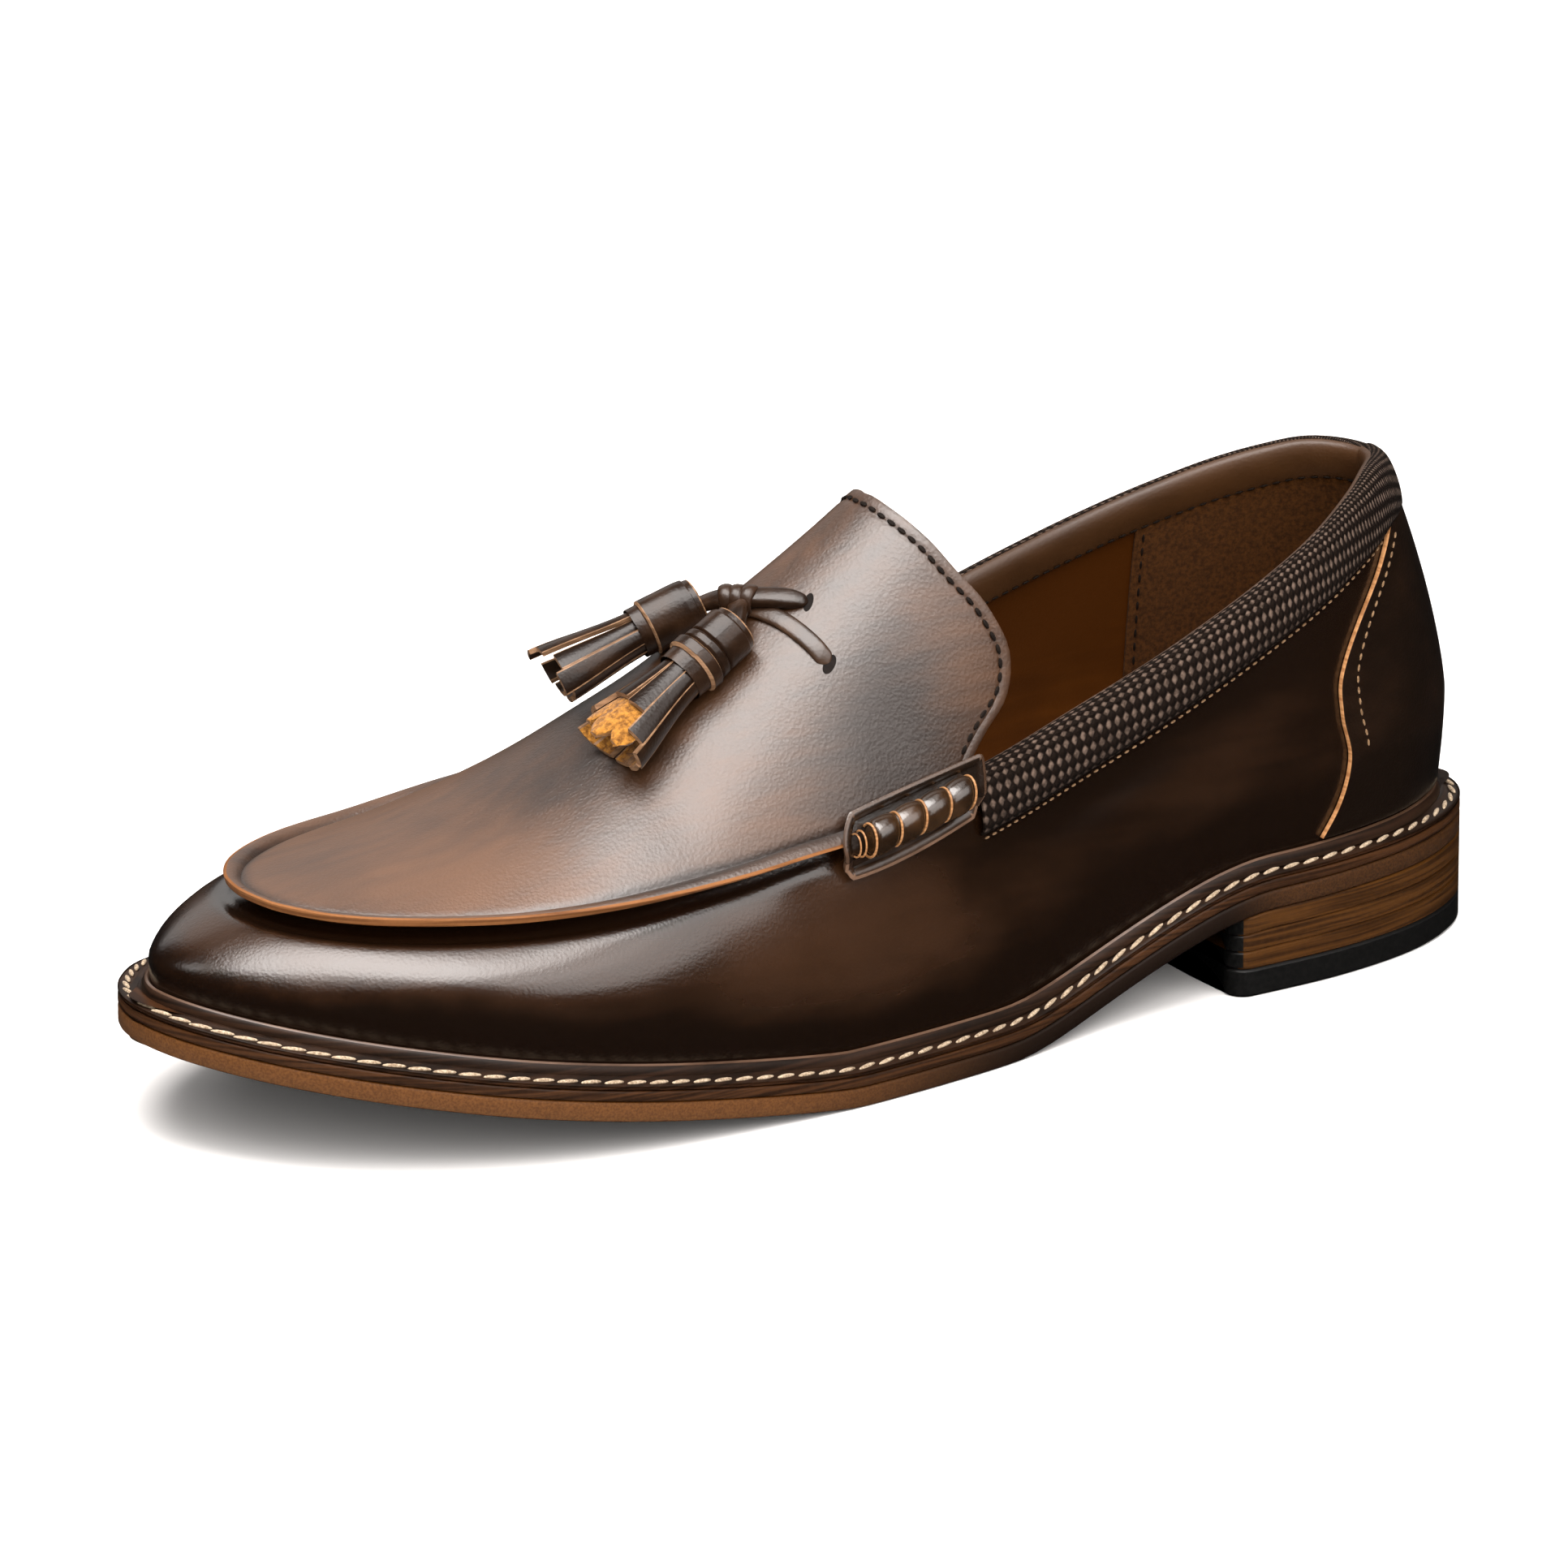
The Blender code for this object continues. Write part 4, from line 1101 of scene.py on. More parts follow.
def make_apron():
    """Apron with its raw cut edge; the tongue's free edge is turned and finished."""
    piece = lay_sheet("apron_and_tongue", 150, 96, lay_apron)
    thicken(piece, APRON_THICK, True, (VAMP_LEATHER, LINING, PALE_CUT, RAW_EDGE), 0.2)
    bare_edges(piece, 3)
    dress(piece, "apron_leather", ["apron"])
    tongue = placed((TAB_START + 9.0, 0.0, 0.0))[0]
    for face in piece.data.polygons:
        if face.material_index == 2 and face.center.x < tongue:
            face.material_index = 0


def counter_place(t, up):
    """A place on the counter by its share of the way up."""
    top = collar_length(t) - BAND_HEIGHT - COUNTER_BELOW_BAND + 4.0
    return COUNTER_FOOT + (top - COUNTER_FOOT) * up


def counter_front(up):
    """Place along the shoe of the counter's front edge."""
    return float(curve_through(*zip(*COUNTER_EDGE), up))


def lay_counter(u, v):
    """Heel counter round the back, its front edges an S."""
    front = counter_front(v)
    first, last = station_of(front, 1), station_of(front, -1)
    part = 0.5 - 0.5 * math.cos(math.pi * u)
    t = first + (last - first) * (0.5 * u + 0.5 * part)
    length = counter_place(t, v)
    # Darker toward the welt: burnish with painted shade.
    low = bell(length, 0.0, 12.0)
    return on_upper(t, length), 0.15, min(1.0, 0.35 + low)


def make_counter():
    """Counter with raw edge and a row of fine stitches on each side."""
    piece = lay_sheet("heel_counter_patch", 120, 56, lay_counter)
    thicken(piece, COUNTER_THICK, True, (COUNTER_LEATHER, COUNTER_LEATHER, PALE_CUT), 0.2)
    dress(piece, "counter_leather", ["heel_counter"])
    for side, label in SIDES:
        path = []
        for up in np.linspace(0.32, 0.95, 60):
            t = station_of(counter_front(up) - 4.6, side)
            place, _, _, out = stance(t, counter_place(t, up))
            path.append((place + out * (COUNTER_THICK + 0.2), out))
        row = sew(f"counter_stitch_{label}", path, 2.3, stitch_shape(1.5, 0.55, 0.45))
        dress(row, "woven_band", [], TAN_THREAD)


def collar_point(t, down, out):
    """A place beside the collar's edge: down the wall from it and out from the upper."""
    place, _, up, outward = stance(t, collar_length(t) - max(down, 0.0))
    return place + up * max(-down, 0.0) + outward * out


Cuff = namedtuple("Cuff", "down out")
BAND_CUFF = (
    Cuff(12.6, 0.1),
    Cuff(12.5, 0.9),
    Cuff(11.6, 1.6),
    Cuff(9.0, 2.1),
    Cuff(6.0, 2.3),
    Cuff(3.0, 2.2),
    Cuff(1.2, 1.8),
    Cuff(0.0, 1.0),
    Cuff(-0.5, 0.1),
    Cuff(-0.6, -0.9),
)
FACING_CUFF = (
    Cuff(-0.5, -0.6),
    Cuff(-0.5, -1.4),
    Cuff(-0.1, -2.3),
    Cuff(1.4, -3.1),
    Cuff(3.6, -3.4),
    Cuff(6.0, -3.2),
    Cuff(7.8, -2.7),
    Cuff(8.6, -2.1),
    Cuff(8.7, -1.7),
)


def lay_cuff(table, start):
    """A strip that follows the collar from tab to tab with a rounded section."""
    first, last = station_of(start, 1), station_of(start, -1)
    rows = np.linspace(0, 1, len(table))

    def lay(u, v):
        down = float(curve_through(rows, [row.down for row in table], v))
        out = float(curve_through(rows, [row.out for row in table], v))
        # Painted shade deep inside the collar, read only by the facing's finish.
        return collar_point(first + (last - first) * u, down, out), 0.0, 0.25 * bell(v, 1.0, 0.2)

    return lay


def make_collar():
    """Woven cuff outside the collar and a rolled leather facing inside it."""
    band = lay_sheet("woven_collar", 260, 22, lay_cuff(BAND_CUFF, TAB_START - 0.5))
    thicken(band, 0.5, False, (WOVEN,))
    dress(band, "woven_band", ["collar_band"], smooth=70.0)
    facing = lay_sheet("collar_facing", 240, 18, lay_cuff(FACING_CUFF, TAB_START + 1.0))
    thicken(facing, 0.4, False, (FACING,))
    dress(facing, "lining_leather", [], smooth=70.0)
    first, last = station_of(TAB_START - 1.0, 1), station_of(TAB_START - 1.0, -1)
    under, inside = [], []
    for t in np.linspace(first, last, 200):
        length = collar_length(t)
        place, _, _, out = stance(t, length - BAND_HEIGHT - 1.1)
        under.append((place + out * 0.15, out))
        place, _, _, out = stance(t, length - 7.6)
        inside.append((place - out * 2.95, -out))
    row = sew("collar_stitch", under, 2.0, stitch_shape(1.2, 0.5, 0.45))
    dress(row, "woven_band", [], TAN_THREAD)
    row = sew("facing_stitch", inside, 2.6, stitch_shape(1.7, 0.5, 0.45))
    dress(row, "lining_leather", [], BROWN_THREAD)


GRIP_START = 60.0


def lay_grip(u, v):
    """Suede panel inside the heel."""
    first, last = station_of(GRIP_START, 1), station_of(GRIP_START, -1)
    t = first + (last - first) * u
    length = 3.0 + (collar_length(t) - 10.0) * v
    place, _, _, out = stance(t, length)
    # Painted shade at the grip's foot, down by the sock.
    return place - out * (WALL + 0.15), 0.0, 0.4 * bell(v, 0.0, 0.3)


def make_lining():
    """Heel grip with a row of stitches at each of its front edges."""
    grip = lay_sheet("heel_grip", 90, 30, lay_grip)
    thicken(grip, 0.6, False, (GRIP,), 0.15)
    dress(grip, "lining_leather", [])
    for side, label in SIDES:
        path = []
        t = station_of(GRIP_START - 2.0, side)
        for length in np.linspace(6.0, collar_length(t) - 9.0, 40):
            place, _, _, out = stance(t, length)
            path.append((place - out * (WALL + 0.8), -out))
        row = sew(f"lining_stitch_{label}", path, 3.0, stitch_shape(1.9, 0.6, 0.5))
        dress(row, "lining_leather", [], BROWN_THREAD)


def make_tongue_row():
    """Stitches that follow the tongue's free edge."""
    path = []
    for side in (1, -1):
        edge = station_of(TONGUE_X, side)
        points = []
        for length in np.linspace(seam_length(edge) + 4.0, whole_length(edge) - 0.3, 60):
            place, around, _, _ = stance(edge, length)
            ahead = place - side * around * 2.2
            face = VAMP_FACE + vamp_fold(ahead[0], ahead[1])
            points.append(vamp_point(ahead[0], ahead[1], face + 0.05))
        path += points if side > 0 else points[::-1]
    row = sew("tongue_stitch", path, 2.8, stitch_shape(2.1, 1.0, 0.7))
    dress(row, "apron_leather", [], BROWN_THREAD)


make_walls()
make_apron()
make_counter()
make_collar()
make_lining()
make_tongue_row()


# Tabs over the ends of the seam

TAB_THICK = 1.3
TAB_LENGTH = TAB_END - TAB_START
BEAD_COUNT = 4
ROLL_REACH = 0.74
ROLL_RADIUS = 3.9
ROLL_FLATNESS = 0.85
ROLL_RISE = TAB_THICK + 1.3
LOOP_RADIUS = 0.85 * ROLL_RADIUS
LOOP_THREAD = 0.26


def tab_stance(side, along, across):
    """A place on a tab by its shares along and across: over the wall below, over the apron above."""
    x = TAB_START + TAB_LENGTH * (0.5 - 0.5 * side * along)
    t = station_of(x, side)
    middle = seam_length(t) if x > TONGUE_X else collar_length(t)
    place, around, up, out = stance(t, middle - 1.5 + TAB_HALF_HEIGHT * across)
    lift = 0.3 + (VAMP_FACE + 0.3) * ease(across, -0.6, -0.1)
    return place + out * lift, around, up, out


def rounded(u, v, corner):
    """Square of a sheet drawn in to a plate with round ends."""
    a, b = 2 * u - 1, 2 * v - 1
    return a * math.sqrt(1 - corner * b * b / 2), b * math.sqrt(1 - corner * a * a / 2)


def make_plate(side, label):
    """Tab plate with a raised rim painted pale as a highlight, and painted shade over all but its lower part.
    """

    def lay(u, v):
        along, across = rounded(u, v, 0.45)
        edge = min((1 - abs(2 * u - 1)) * TAB_LENGTH / 2, (1 - abs(2 * v - 1)) * TAB_HALF_HEIGHT)
        rim = bell(edge, 0.3, 0.7)
        # Painted highlight along the rim; painted shade over the plate above its lower part.
        shade = 0.7 - 0.3 * rim - 0.4 * (v < 0.35)
        return tab_stance(side, along, across)[0], 0.6 * rim, shade, edge < 0.3

    plate = lay_sheet(f"tab_plate_{label}", 120, 52, lay)
    thicken(plate, TAB_THICK, True, (TAB_LEATHER, TAB_LEATHER, TAB_LEATHER, TAB_RIM_HIGHLIGHT), 0.2)
    bare_edges(plate, 3)
    dress(plate, "tab_leather", [f"tab_{label}"])


def make_roll(side, label):
    """Lace rolled along a tab, pinched between its beads."""

    def lay(u, v):
        place, _, up, out = tab_stance(side, ROLL_REACH * (2 * v - 1), 0.0)
        end = min(1.0, min(v, 1 - v) * 16)
        barrel = 0.76 + 0.24 * abs(math.sin(math.pi * BEAD_COUNT * v)) ** 0.5
        radius = ROLL_RADIUS * barrel * math.sqrt(end * (2 - end))
        angle = -2 * math.pi * u
        ring = math.cos(angle) * up + ROLL_FLATNESS * math.sin(angle) * out
        return place + out * ROLL_RISE + radius * ring, 0.0, 0.35

    roll = closed_sheet(f"tab_roll_{label}", 28, 96, lay)
    dress(roll, "tab_leather", [], ROLL_LEATHER, smooth=70.0)


def make_loops(side, label):
    """Waxed loops that hold the roll, with two smaller ones past its toe end."""
    bpy.ops.object.select_all(action="DESELECT")
    bpy.ops.mesh.primitive_torus_add(
        major_segments=28, minor_segments=8, major_radius=LOOP_RADIUS * MM,
        minor_radius=LOOP_THREAD * MM, rotation=(0.0, math.pi / 2, 0.0),
    )
    loop = bpy.context.object
    bpy.ops.object.transform_apply(location=False, rotation=True, scale=False)
    stretch((1.0, 1.0, ROLL_FLATNESS + 0.04))
    stands = []
    for along, size in (
        *((ROLL_REACH * (2 * k / BEAD_COUNT - 1) * 0.96, 1.0) for k in range(BEAD_COUNT + 1)),
        (-side * (ROLL_REACH + 0.07), 0.78),
        (-side * (ROLL_REACH + 0.13), 0.70),
    ):
        place, around, up, out = tab_stance(side, along, 0.0)
        stands.append((place + out * ROLL_RISE * size, around, up, out, size))
    loops = copies_of(f"tab_loops_{label}", loop, stands)
    dress(loops, "tab_leather", [], COPPER_THREAD, smooth=70.0)


for side, label in SIDES:
    make_plate(side, label)
    make_roll(side, label)
    make_loops(side, label)


# Tassels and their tie

OUTER_TASSEL = ((173.0, 11.5, 88.8), (205.5, 15.0, 70.0))
INNER_TASSEL = ((171.5, -6.5, 88.5), (201.5, -12.5, 76.0))
Cap = namedtuple("Cap", "along radius")
WRAPPED_CAP = (
    Cap(0.000, 0.3),
    Cap(0.003, 3.9),
    Cap(0.012, 4.9),
    Cap(0.060, 5.2),
    Cap(0.190, 5.3),
    Cap(0.200, 4.9),
    Cap(0.212, 5.4),
    Cap(0.250, 5.4),
    Cap(0.262, 5.0),
    Cap(0.275, 5.9),
    Cap(0.335, 5.9),
    Cap(0.350, 5.2),
    Cap(0.430, 5.0),
)
PLAIN_CAP = (
    Cap(0.000, 0.3),
    Cap(0.003, 4.0),
    Cap(0.012, 5.0),
    Cap(0.100, 5.3),
    Cap(0.330, 5.4),
    Cap(0.350, 5.4),
    Cap(0.360, 4.8),
    Cap(0.430, 4.8),
)
Strip = namedtuple("Strip", "angle reach width under")
OUTER_STRIPS = (
    Strip(104, 0.74, 5.2, 0.0),
    Strip(62, 0.76, 5.4, 0.0),
    Strip(26, 0.90, 4.8, 0.0),
    Strip(-8, 0.97, 4.6, 0.0),
    Strip(-42, 0.98, 4.6, 0.0),
    Strip(-80, 0.96, 5.0, 0.0),
    Strip(-120, 0.95, 5.0, 0.0),
    Strip(-160, 0.95, 4.8, 0.0),
    Strip(146, 0.86, 4.6, 0.0),
)
INNER_STRIPS = (
    Strip(96, 1.00, 4.6, 0.0),
    Strip(136, 1.04, 4.2, 0.0),
    Strip(56, 0.95, 4.2, 0.8),
    Strip(16, 1.00, 4.6, 0.0),
    Strip(-24, 0.95, 4.2, 0.4),
    Strip(-66, 0.97, 4.4, 0.0),
    Strip(-110, 0.97, 4.4, 0.0),
    Strip(-158, 0.98, 4.4, 0.0),
)
SUEDE_TONGUES = (
    Strip(120, 0.95, 5.4, 1.4),
    Strip(82, 1.02, 5.6, 1.4),
    Strip(46, 1.00, 5.4, 1.5),
)
CAP_RADIUS = 4.6
OUTER_SPREAD = (10.5, 6.8)
INNER_SPREAD = (8.8, 6.6)
FRINGE_START = 0.36
SUEDE_START = 0.60
STRIP_SPACING = (0.0, 0.06, 0.28, 0.5, 0.72, 0.94, 1.0)
STRIP_COLUMNS = len(STRIP_SPACING) - 1
STRIP_ROWS = 14
STRIP_THICK = 1.0
SUEDE_THICK = 1.9


def tassel_axes(start, end):
    """Start, length and the directions along, across and up of a tassel."""
    start, end = np.array(start), np.array(end)
    axis = (end - start) / np.linalg.norm(end - start)
    across = np.cross([0, 0, 1], axis)
    across /= np.linalg.norm(across)
    return start, float(np.linalg.norm(end - start)), axis, across, np.cross(axis, across)


def square_tip(part):
    """A strip's share of its width, even to the end."""
    return 1.0


def round_tip(part):
    """A strip's share of its width, narrowed to a round end."""
    return max(0.35, math.sqrt(max(0.0, 1 - max(0.0, (part - 0.7) / 0.3) ** 2)))


def lay_strip(ends, strip, spread_to, first, tip):
    """A strip of the fringe that spreads from the cap; tip shapes its width along it."""
    start, length, axis, across, up = tassel_axes(*ends)
    swing = math.radians(strip.angle)
    resting = 0.72 if math.sin(swing) < 0 else 1.0

    def lay(u, v):
        part = paced(v, 0.93, 0.985)
        along = first + (strip.reach - first) * part
        spread = ease(along, FRINGE_START, 1.1)
        wide = CAP_RADIUS + (spread_to[0] - CAP_RADIUS) * spread - strip.under
        high = (CAP_RADIUS + (spread_to[1] - CAP_RADIUS) * spread - strip.under) * resting
        around = -math.sin(swing) * wide * across + math.cos(swing) * high * up
        around /= np.linalg.norm(around)
        out = math.cos(swing) * high * across + math.sin(swing) * wide * up
        out /= np.linalg.norm(out)
        middle = start + axis * length * along
        middle = middle + math.cos(swing) * wide * across + math.sin(swing) * high * up
        side = STRIP_SPACING[round(u * STRIP_COLUMNS)] - 0.5
        width = strip.width * (0.66 + 0.44 * spread) * tip(part)
        cup = 0.5 * (1 - 4 * side * side)
        cut = u < 0.2 or u > 0.8
        return middle + around * width * side + out * cup, 0.0, 0.25 + 0.2 * (strip.angle % 3), cut

    return lay


def joined(name, pieces):
    """Several pieces made one."""
    bpy.ops.object.select_all(action="DESELECT")
    for piece in pieces:
        piece.select_set(True)
    bpy.context.view_layer.objects.active = pieces[0]
    bpy.ops.object.join()
    pieces[0].name = name
    return pieces[0]


def make_tassel(name, ends, form, rims, strips, spread_to, back):
    """Wrapped cap with pale rims over a fringe of cut strips."""
    start, length, axis, across, up = tassel_axes(*ends)
    places = [row.along for row in form]
    radii = [row.radius for row in form]

    def lay_cap(u, v):
        along = places[-1] * v
        radius = float(np.interp(along, places, radii))
        lap = 0.35 * ease(u, 0.0, 0.12) if 0.05 < along else 0.0
        angle = 2 * math.pi * (u + 0.13)
        spread = (radius + lap) * (math.cos(angle) * across + math.sin(angle) * up)
        cut = any(abs(along - rim) < 0.009 for rim in rims)
        return start + axis * length * along + spread + up * 0.5, 0.0, 0.35, cut

    cap = closed_sheet(f"{name}_cap", 48, 90, lay_cap)
    dress(cap, "tassel_leather", [name], TASSEL_LEATHER, PALE_EDGE, smooth=60.0)
    bare_edges(cap, 1)

    fringe = []
    for strip in strips:
        lay = lay_strip(ends, strip, spread_to, FRINGE_START, square_tip)
        piece = lay_sheet(f"{name}_strip", STRIP_COLUMNS, STRIP_ROWS, lay)
        thicken(piece, STRIP_THICK, False, (TASSEL_LEATHER, back, PALE_EDGE, PALE_EDGE))
        bare_edges(piece, 3)
        fringe.append(piece)
    dress(joined(f"{name}_fringe", fringe), "tassel_leather", [])


def make_suede():
    """Golden suede tongues that show at the tip of the outer tassel."""
    tongues = []
    for strip in SUEDE_TONGUES:
        lay = lay_strip(OUTER_TASSEL, strip, OUTER_SPREAD, SUEDE_START, round_tip)
        piece = lay_sheet("suede_tongue", STRIP_COLUMNS, STRIP_ROWS, lay)
        thicken(piece, SUEDE_THICK, False, (GOLD_SUEDE,), 0.45)
        tongues.append(piece)
    dress(joined("suede_tongues", tongues), "tassel_leather", [], smooth=60.0)


make_tassel(
    "tassel_outer", OUTER_TASSEL, WRAPPED_CAP, (0.014, 0.268, 0.343), OUTER_STRIPS, OUTER_SPREAD, GOLD_SUEDE
)
make_tassel(
    "tassel_inner", INNER_TASSEL, PLAIN_CAP, (0.014, 0.350), INNER_STRIPS, INNER_SPREAD, TASSEL_LEATHER
)
make_suede()

# Each lace leaves its slot at x, y and rises in steps off the vamp to the knot, or stops short of it
KNOT_PLACE = (166.0, 3.0)
KNOT_RISE = 2.6
SLOT_HALF_LENGTH = 1.7
SLOT_HALF_WIDTH = 0.9
Lace = namedtuple("Lace", "x y rises stop width thick taper finish")
LACES = (
    Lace(157.5, 12.5, (0.7, 1.6, 2.4), 1.0, 4.6, 2.8, 0.6, KNOT_LEATHER),
    Lace(159.5, 23.0, (0.45, 0.5, 0.6), 0.92, 3.8, 1.2, 1.0, LACE_LEATHER),
)


def lay_lace(path, width, thick, taper=1.0):
    """A flat lace along a line of places and outward directions, narrowed toward its first end."""
    points = np.array([row[0] for row in path])
    outs = np.array([row[1] for row in path])
    rows = np.linspace(0, 1, len(path))

    def at(values, v):
        return np.array([float(curve_through(rows, values[:, k], v)) for k in range(3)])

    def lay(u, v):
        place = at(points, v)
        along = at(points, min(v + 0.01, 1)) - at(points, max(v - 0.01, 0))
        along /= np.linalg.norm(along)
        out = at(outs, v)
        out -= along * (out @ along)
        out /= np.linalg.norm(out)
        across = np.cross(out, along)
        end = min(1.0, 12 * min(v, 1 - v) + 0.02) ** 0.5 * (taper + (1 - taper) * ease(v, 0.0, 0.4))
        angle = 2 * math.pi * u
        side = math.copysign(abs(math.cos(angle)) ** 0.6, math.cos(angle))
        rise = math.copysign(abs(math.sin(angle)) ** 0.8, math.sin(angle))
        return place + end * (side * width / 2 * across + rise * thick / 2 * out), 0.0, 0.3

    return lay


def lay_slot(x, y):
    """Dark oval laid on the vamp at the end of a lace: the slot's painted shadow."""

    def lay(u, v):
        across, along = rounded(u, v, 1.0)
        heading = np.array(KNOT_PLACE) - (x, y)
        heading /= np.linalg.norm(heading)
        aside = np.array([-heading[1], heading[0]])
        ahead = along * SLOT_HALF_WIDTH - 0.1
        plan = np.array([x, y]) + heading * ahead + aside * across * SLOT_HALF_LENGTH
        place, _ = vamp_point(*plan, VAMP_FACE + vamp_fold(*plan) + 0.02)
        return place, 0.0, 1.0

    return lay


def lace_line(lace, knot):
    """A lace's places and outward directions, from its slot in the vamp to the knot."""
    base = VAMP_FACE + vamp_fold(lace.x, lace.y)
    slot = np.array([lace.x, lace.y])
    rows = [vamp_point(lace.x, lace.y, base - 0.15)]
    for part, rise in zip((0.2, 0.5, 0.78), lace.rises):
        plan = slot + (np.array(KNOT_PLACE) - slot) * part * lace.stop
        rows.append(vamp_point(*plan, base + rise))
    return rows + [knot if lace.stop == 1.0 else vamp_point(*KNOT_PLACE, VAMP_FACE + 1.0)]


def make_laces(knot):
    """Two laces, then the dark ovals painted as shadow in the slots that they come out of."""
    for k, lace in enumerate(LACES):
        lay = lay_lace(lace_line(lace, knot), lace.width, lace.thick, lace.taper)
        piece = closed_sheet(f"tie_lace_{k + 1}", 20, 40, lay)
        dress(piece, "tassel_leather", [], lace.finish, smooth=60.0)
    for k, lace in enumerate(LACES):
        # Each slot is a thin dark sheet of painted shadow.
        slot = lay_sheet(f"lace_slot_shadow_{k + 1}", 14, 14, lay_slot(lace.x, lace.y))
        thicken(slot, 0.15, True, (SLOT_SHADOW,))
        dress(slot, "tassel_leather", [], smooth=60.0)


def make_links(knot):
    """Short laces that carry the tassels from the knot."""
    place, out = knot
    for ends, label in ((OUTER_TASSEL, "outer"), (INNER_TASSEL, "inner")):
        start, _, axis, _, up = tassel_axes(*ends)
        middle = (place + start) / 2 + up * 0.6
        rows = [knot, (middle, out), (start + axis * 1.5, up)]
        link = closed_sheet(f"tassel_link_{label}", 16, 24, lay_lace(rows, 4.4, 2.6))
        dress(link, "tassel_leather", [], TASSEL_LEATHER, smooth=60.0)


def make_knot(knot):
    """Three flat wraps of the first lace, fanned a little."""
    place, out = knot
    bpy.ops.object.select_all(action="DESELECT")
    bpy.ops.mesh.primitive_torus_add(
        major_segments=28, minor_segments=12, major_radius=2.5 * MM, minor_radius=0.8 * MM
    )
    wrap = bpy.context.object
    stretch((1.0, 1.0, 1.9))
    heading = place - lace_line(LACES[0], knot)[0][0]
    heading /= np.linalg.norm(heading)
    across = np.cross(out, heading)
    stands = []
    for shift, lean in ((-2.4, -0.25), (0.0, 0.0), (2.2, 0.25)):
        axis = heading * math.cos(lean) + across * math.sin(lean)
        side = np.cross(out, axis)
        side /= np.linalg.norm(side)
        stands.append((place + heading * shift, side, np.cross(axis, side), axis, 1.0))
    wraps = copies_of("tie_knot", wrap, stands)
    dress(wraps, "tassel_leather", ["tassel_tie"], KNOT_LEATHER, smooth=80.0)


def make_tie():
    """Lace through two slots in the vamp, wound into the knot that carries the tassels."""
    knot = vamp_point(*KNOT_PLACE, VAMP_FACE + KNOT_RISE)
    make_laces(knot)
    make_links(knot)
    make_knot(knot)


make_tie()


# Sole and heel


def sole_plan(t):
    """The sole's edge at a station."""
    along, side = station_at(t)
    x = along * SOLE_LENGTH
    return np.array([x, float(sole_edge(x, side))])


def foot_plan(t):
    """The upper's foot at a station."""
    return on_upper(t, 0.0)[:2]


def plan_out(place, t):
    """Outward direction of an outline at a station."""
    ahead = place(t + 0.004) - place(t - 0.004)
    out = np.array([ahead[1], -ahead[0]])
    return out / np.linalg.norm(out)


def plan_middle(x):
    """Sideways middle of the sole."""
    return float(sole_edge(x, 1) + sole_edge(x, -1)) / 2


Edge = namedtuple("Edge", "out height inward")


def lay_slab(place, table):
    """A layer of the sole, its section a table of places out from an outline and up from the tread."""

    def lay(u, v):
        t = 2.0 * u
        row = table[round(v * (len(table) - 1))]
        plan = place(t) + plan_out(place, t) * row.out
        x = min(max(plan[0], 0.0), SOLE_LENGTH)
        middle = np.array([x, plan_middle(x)])
        plan = plan + (middle - plan) * row.inward
        return np.array([*plan, float(sole_bottom(plan[0])) + row.height]), 0.0, 0.0

    return lay


def edge_rows(low, high, soft):
    """Section of a plain layer with rounded edges, closed across underside and top."""
    return (
        Edge(0.0, low, 1.0),
        Edge(0.0, low, 0.5),
        Edge(-3.0, low, 0.0),
        Edge(-soft, low, 0.0),
        Edge(-0.3 * soft, low + 0.3 * soft, 0.0),
        Edge(0.0, low + soft, 0.0),
        Edge(0.0, (low + high) / 2, 0.0),
        Edge(0.0, high - soft, 0.0),
        Edge(-0.3 * soft, high - 0.3 * soft, 0.0),
        Edge(-soft, high, 0.0),
        Edge(-3.0, high, 0.0),
        Edge(0.0, high, 0.5),
        Edge(0.0, high, 1.0),
    )


def make_layer(name, place, table, slot, nodes, finish):
    """One closed layer of the sole."""
    piece = closed_sheet(name, 240, len(table) - 1, lay_slab(place, table))
    return dress(piece, slot, nodes, finish, smooth=50.0)


def make_plates():
    """Outsole with its dark tread, and the midsole on it."""
    table = edge_rows(0.0, OUTSOLE_TOP, 0.7)
    outsole = make_layer("outsole_edge", sole_plan, table, "outsole_leather", ["outsole"], OUTSOLE_LEATHER)
    second_finish(outsole, RUBBER, lambda face: face.normal.z < -0.8)
    table = edge_rows(OUTSOLE_TOP + 0.1, MIDSOLE_TOP, 0.5)
    make_layer("midsole_edge", sole_plan, table, "midsole_leather", ["midsole"], MIDSOLE_LEATHER)


